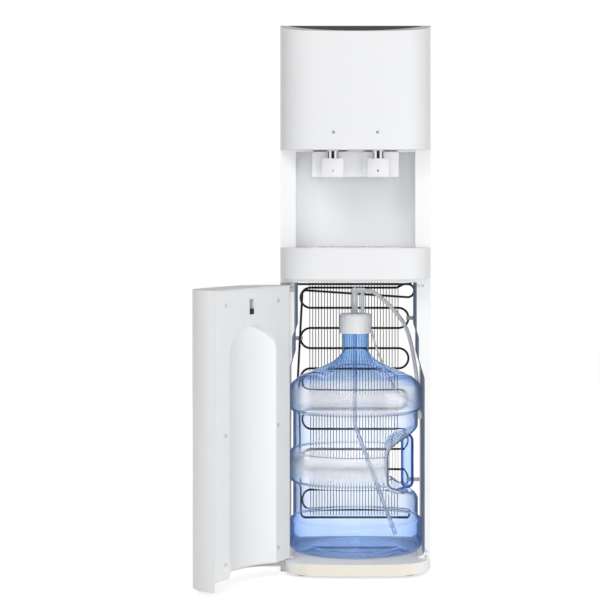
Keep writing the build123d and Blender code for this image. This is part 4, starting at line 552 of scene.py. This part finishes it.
GRIP_X, GRIP_Y = 0.106, BOTTLE_Y
GRIP_HALF_X, GRIP_HALF_Y = 0.0135, 0.0175
GRIP_LOW, GRIP_HIGH = 0.1525, 0.2650
GRIP_END = 0.0145  # height over which each end closes
GRIP_TIP = 0.02  # share of the section that is left at the very end, squared
GRIP_SQUARE = 0.8  # 1 is an ellipse, less is squarer
GRIP_RINGS, GRIP_SEGMENTS = 41, 48


def squared(wave):
    """A sine or cosine that gives a squarer outline than an ellipse."""
    return math.copysign(abs(wave) ** GRIP_SQUARE, wave)


def blown_grip():
    """Hollow capsule that spans the hand notch."""
    verts = []
    for ring in range(GRIP_RINGS):
        rise = 0.5 - 0.5 * math.cos(math.pi * ring / (GRIP_RINGS - 1))
        z = GRIP_LOW + (GRIP_HIGH - GRIP_LOW) * rise
        end = min(1.0, min(z - GRIP_LOW, GRIP_HIGH - z) / GRIP_END)
        close = max(GRIP_TIP, 1 - (1 - end) ** 2) ** 0.5
        for angle in turns(GRIP_SEGMENTS):
            x = GRIP_X + GRIP_HALF_X * close * squared(math.cos(angle))
            y = GRIP_Y + GRIP_HALF_Y * close * squared(math.sin(angle))
            verts.append((x, y, z))
    faces = ring_faces(GRIP_RINGS, GRIP_SEGMENTS)
    faces.append(start_face(GRIP_SEGMENTS))
    faces.append(end_face(GRIP_RINGS, GRIP_SEGMENTS))
    return walled(new_piece("blown_grip", verts, faces, grip_blue))


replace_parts(blown_bottle(), "bottle")
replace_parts(blown_grip(), "bottle_grip")


# ---------------------------------------------------------------- screw heads
FRONT_WAY, BACK_WAY, UP_WAY = (0, -1, 0), (0, 1, 0), (0, 0, 1)
HEAD_RINGS, HEAD_SEGMENTS = 9, 48
# the rest are shares of a head's radius
HEAD_RISE = 0.55
HEAD_TIP = 0.02
DOME_FALL = 0.85
CROSS_HALF_WIDTH = 0.13
CROSS_REACH = 0.62
CROSS_DEPTH = 0.55  # share of the rise


def pan_heads(name, places, radius, way, rise=HEAD_RISE):
    """Domed screw heads with a cross recess, each at its seat and facing one way."""
    turn = Vector(way).to_track_quat("Z", "Y").to_matrix()
    verts, faces = [], []
    for place in places:
        base = len(verts)
        for ring in range(HEAD_RINGS):
            r = radius * (1 - ring / (HEAD_RINGS - 1)) + HEAD_TIP * radius
            dome = rise * radius * math.sqrt(max(0.0, 1 - (DOME_FALL * r / radius) ** 2))
            for angle in turns(HEAD_SEGMENTS):
                x, y = r * math.cos(angle), r * math.sin(angle)
                on_arm = min(abs(x), abs(y)) < CROSS_HALF_WIDTH * radius
                in_cross = on_arm and r < CROSS_REACH * radius
                z = dome - CROSS_DEPTH * rise * radius if in_cross else dome
                if ring == 0:
                    z = 0.0
                verts.append(tuple(Vector(place) + turn @ Vector((x, y, z))))
        faces += ring_faces(HEAD_RINGS, HEAD_SEGMENTS, base)
        faces.append(end_face(HEAD_RINGS, HEAD_SEGMENTS, base))
        faces.append(start_face(HEAD_SEGMENTS, base))
    return new_piece(name, verts, faces, screw_zinc)


def seat_y(node, x, reach):
    """Front of a node within a reach of an X."""
    near = [v.co.y for v in NODES[node].data.vertices if abs(v.co.x - x) < reach]
    return min(near)


LEDGE_SCREW_X, LEDGE_SCREW_Y, LEDGE_TOP = 0.122, -0.108, 0.0252
ledge_screws = [(x, LEDGE_SCREW_Y, LEDGE_TOP) for x in (LEDGE_SCREW_X, -LEDGE_SCREW_X)]
pan_heads("ledge_screws", ledge_screws, 0.0041, UP_WAY)

POST_FACE = -0.094
post_screws = [
    (0.1415, POST_FACE, 0.0414),
    (0.1410, POST_FACE, 0.0315),
    (0.1265, POST_FACE, 0.5720),
    (0.1345, POST_FACE, 0.5720),
]
pan_heads("post_screws", post_screws, 0.0028, FRONT_WAY)

# low heads, because the closed door passes 1 mm in front of the hinge plate
HINGE_SCREW_X = -0.1285
HINGE_SCREW_RISE = 0.2
hinge_face = seat_y("top_hinge", HINGE_SCREW_X, 0.004)
hinge_screws = [(HINGE_SCREW_X, hinge_face, z) for z in (0.5655, 0.5735)]
pan_heads("hinge_screws", hinge_screws, 0.0026, FRONT_WAY, HINGE_SCREW_RISE)

COVER_FACE = 0.1572
COVER_SCREW_X = 0.143
COVER_SCREW_Z = (0.592, 0.757, 0.918, 1.079)
cover_screws = [(x, COVER_FACE, z) for x in (-COVER_SCREW_X, COVER_SCREW_X) for z in COVER_SCREW_Z]
cover_screws.append((0.0, COVER_FACE, COVER_SCREW_Z[-1]))
pan_heads("cover_screws", cover_screws, 0.0036, BACK_WAY)


# ---------------------------------------------------------------- marks on the front
INLAY_THICK = 0.0004
INLAY_SUNK = 0.0002


def inlays(name, outlines, face, finish, body="cabinet"):
    """Thin inlays on a face that looks forwards, one for each outline in X and Z."""
    back = face + INLAY_SUNK
    verts, faces = [], []
    for outline in outlines:
        base, count = len(verts), len(outline)
        for depth in (back, back - INLAY_THICK):
            verts += [(x, depth, z) for x, z in outline]
        faces += ring_faces(2, count, base)
        faces.append(start_face(count, base))
        faces.append(end_face(2, count, base))
    return new_piece(name, verts, faces, finish, body)


DROP_STEPS = 28
DROP_PINCH = 0.75  # how much the sides draw in towards the point
DROP_STRETCH = 0.8  # how much the point rises above a circle


def drop(x, z, radius):
    """Outline of a drop with its point upwards."""
    outline = []
    for angle in turns(DROP_STEPS):
        pull = (0.5 + 0.5 * math.cos(angle)) ** 3
        across = radius * math.sin(angle) * (1 - DROP_PINCH * pull)
        up = radius * math.cos(angle) * (1 + DROP_STRETCH * pull)
        outline.append((x + across, z + up))
    return outline


def arc(x, z, radius, angles):
    """Points on an arc round a centre."""
    return [(x + radius * math.cos(a), z + radius * math.sin(a)) for a in angles]


def band(x, z, inner, outer, start, end, steps=24):
    """Outline of a curved band between two angles."""
    angles = [math.radians(start + (end - start) * i / steps) for i in range(steps + 1)]
    return arc(x, z, outer, angles) + arc(x, z, inner, angles[::-1])


PADDLE_FRONT = -0.137
MARK_X, MARK_Z = 0.0445, 0.8012
MARK_RADIUS = 0.0019
hot_drop = drop(-MARK_X, MARK_Z, MARK_RADIUS)
cold_drop = drop(MARK_X, MARK_Z, MARK_RADIUS)
inlays("hot_mark", [hot_drop], PADDLE_FRONT, mark_grey, "hot_paddle")
inlays("cold_mark", [cold_drop], PADDLE_FRONT, navy, "cold_paddle")

LAMP_X, LAMP_Z = 0.043, 0.876
ARC_INNER, ARC_OUTER = 0.0052, 0.0060
lamp_face = seat_y("indicator_lamps", -LAMP_X, 0.002)
lamp_bands = [band(x, LAMP_Z, ARC_INNER, ARC_OUTER, 45, 135) for x in (-LAMP_X, LAMP_X)]
inlays("lamp_arcs", lamp_bands, lamp_face, mark_grey)


# ---------------------------------------------------------------- hoses in the compartment
MM_PER_M = 1000


def hose(name, route, diameter, finish):
    """One smooth hose on its route in millimetres, riding with the cabinet."""
    curve = bpy.data.curves.new(name, "CURVE")
    curve.dimensions = "3D"
    curve.bevel_depth = diameter / 2
    curve.bevel_resolution = 5
    curve.resolution_u = 10
    curve.use_fill_caps = True
    curve.materials.append(finish)
    spline = curve.splines.new("NURBS")
    spline.points.add(len(route) - 1)
    for point, place in zip(spline.points, route):
        point.co = (*(c / MM_PER_M for c in place), 1.0)
    spline.order_u = 3
    spline.use_endpoint_u = True
    piece = bpy.data.objects.new(name, curve)
    scene.collection.objects.link(piece)
    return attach(piece, "cabinet")


WATER_ROUTE = [
    (19.7, 8, 558),
    (32, 8, 558),
    (47, 15, 548),
    (68, 24, 529),
    (88, 33, 507),
    (103, 43, 484),
    (111.5, 53, 461),
    (117, 62, 438),
    (121.5, 71, 414),
    (126, 80, 388),
    (129.5, 88, 361),
    (132, 95, 334),
    (133.5, 100, 310),
    (133.45, 100, 292.4),
]
CABLE_ROUTE = [
    (34, 20, 474),
    (37, 28, 457),
    (43, 39, 439),
    (50, 57, 418),
    (59, 83, 400),
    (68, 108, 382),
    (76, 130, 361),
    (90, 143, 337),
    (110, 138, 322),
    (126, 126, 316),
    (133.5, 118, 306),
    (133.5, 118, 292.4),
]
water = hose("water_line", WATER_ROUTE, 0.008, silicone)
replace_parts(water, "water_hose")
cable = hose("probe_lead", CABLE_ROUTE, 0.004, silicone)
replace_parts(cable, "sensor_cable")


# ---------------------------------------------------------------- floor
FLOOR_HALF = 6
FLOOR_GLOW = 0.62
PAPER = (0.8, 0.8, 0.8, 1)


def paper_white():
    """Floor that reads as white paper to the camera and keeps a soft shadow."""
    material = bpy.data.materials.new("paper")
    material.use_nodes = True
    tree = material.node_tree
    tree.nodes.clear()
    out = tree.nodes.new("ShaderNodeOutputMaterial")
    add = tree.nodes.new("ShaderNodeAddShader")
    diffuse = tree.nodes.new("ShaderNodeBsdfDiffuse")
    diffuse.inputs["Color"].default_value = PAPER
    glow = tree.nodes.new("ShaderNodeEmission")
    rays = tree.nodes.new("ShaderNodeLightPath")
    direct = greatest(tree, rays.outputs["Is Camera Ray"], rays.outputs["Is Glossy Ray"])
    seen = greatest(tree, direct, rays.outputs["Is Transmission Ray"])
    level = tree.nodes.new("ShaderNodeMath")
    level.operation = "MULTIPLY"
    level.inputs[1].default_value = FLOOR_GLOW
    tree.links.new(seen, level.inputs[0])
    tree.links.new(level.outputs[0], glow.inputs["Strength"])
    tree.links.new(diffuse.outputs[0], add.inputs[0])
    tree.links.new(glow.outputs[0], add.inputs[1])
    tree.links.new(add.outputs[0], out.inputs[0])
    return material


floor_mesh = bpy.data.meshes.new("floor")
floor_corners = [
    (-FLOOR_HALF, -FLOOR_HALF, 0),
    (FLOOR_HALF, -FLOOR_HALF, 0),
    (FLOOR_HALF, FLOOR_HALF, 0),
    (-FLOOR_HALF, FLOOR_HALF, 0),
]
floor_mesh.from_pydata(floor_corners, [], [(0, 1, 2, 3)])
floor_mesh.materials.append(paper_white())
floor = bpy.data.objects.new("floor", floor_mesh)
scene.collection.objects.link(floor)


# ---------------------------------------------------------------- studio
ROOM_LIGHT = 0.58
# what shiny surfaces mirror, from straight ahead of the object (0) to straight behind it (1):
# the dark end of the studio, a white bank on each side, dark flags, then the white backdrop
MIRROR_BANDS = (
    (0.05, (0.03, 0.03, 0.035)),
    (0.07, WHITE),
    (0.34, WHITE),
    (0.38, (0.06, 0.06, 0.07)),
    (0.84, (0.08, 0.08, 0.09)),
    (0.90, WHITE),
)
# and by height, from level with the object (0) to overhead (1): a dark ceiling
CEILING_BANDS = ((0.10, WHITE), (0.24, (0.12, 0.12, 0.12)))


def backdrop(tree, strength):
    """A plain backdrop of one strength."""
    node = tree.nodes.new("ShaderNodeBackground")
    node.inputs["Strength"].default_value = strength
    return node


def mirrored_room(tree):
    """Backdrop that shiny surfaces mirror, in bands by direction."""
    place = tree.nodes.new("ShaderNodeTexCoord")
    way = tree.nodes.new("ShaderNodeSeparateXYZ")
    tree.links.new(place.outputs["Generated"], way.inputs[0])
    behind = tree.nodes.new("ShaderNodeMath")
    behind.operation = "MULTIPLY_ADD"
    behind.inputs[1].default_value = 0.5
    behind.inputs[2].default_value = 0.5
    tree.links.new(way.outputs["Y"], behind.inputs[0])
    banded = tree.nodes.new("ShaderNodeMix")
    banded.data_type = "RGBA"
    banded.blend_type = "MULTIPLY"
    banded.inputs[MIX_FACTOR].default_value = 1.0
    tree.links.new(ramp(tree, behind.outputs[0], MIRROR_BANDS), banded.inputs[MIX_FIRST])
    tree.links.new(ramp(tree, way.outputs["Z"], CEILING_BANDS), banded.inputs[MIX_SECOND])
    room = backdrop(tree, 1.0)
    tree.links.new(banded.outputs[MIX_COLOUR], room.inputs["Color"])
    return room


def chosen(tree, share, first, second):
    """One shader or another, by a share."""
    node = tree.nodes.new("ShaderNodeMixShader")
    tree.links.new(share, node.inputs[0])
    tree.links.new(first.outputs[0], node.inputs[1])
    tree.links.new(second.outputs[0], node.inputs[2])
    return node


def studio_world():
    """White to the camera and through glass, banded in reflections, an even light otherwise."""
    world = bpy.data.worlds.new("studio")
    world.use_nodes = True
    tree = world.node_tree
    tree.nodes.clear()
    out = tree.nodes.new("ShaderNodeOutputWorld")
    rays = tree.nodes.new("ShaderNodeLightPath")
    light = backdrop(tree, ROOM_LIGHT)
    unseen = chosen(tree, rays.outputs["Is Glossy Ray"], light, mirrored_room(tree))
    paper = backdrop(tree, 1.0)
    paper.inputs["Color"].default_value = (*WHITE, 1)
    seen = greatest(tree, rays.outputs["Is Camera Ray"], rays.outputs["Is Transmission Ray"])
    tree.links.new(chosen(tree, seen, unseen, paper).outputs[0], out.inputs[0])
    return world


scene.world = studio_world()


def softbox(name, place, target, wide, high, power):
    """A large soft lamp aimed at a point, which no shiny surface mirrors."""
    data = bpy.data.lights.new(name, "AREA")
    data.shape = "RECTANGLE"
    data.size = wide
    data.size_y = high
    data.energy = power
    box = bpy.data.objects.new(name, data)
    box.visible_camera = False
    box.visible_glossy = False
    box.location = place
    way = Vector(target) - Vector(place)
    box.rotation_euler = way.to_track_quat("-Z", "Y").to_euler()
    scene.collection.objects.link(box)


softbox("front", (0, -4.3, 0.85), (0, 0, 0.7), wide=1.2, high=1.2, power=30)
softbox("key", (-1.1, -3.2, 2.6), (0, 0, 0.5), wide=1.4, high=1.4, power=28)
softbox("fill", (1.4, -3.6, 1.0), (0, 0, 0.6), wide=1.0, high=1.8, power=13)
softbox("side", (2.4, -1.3, 0.25), (-0.25, -0.25, 0.25), wide=1.0, high=0.8, power=16)
softbox("back", (0.4, 2.6, 1.8), (0, 0, 0.5), wide=2.4, high=1.6, power=24)
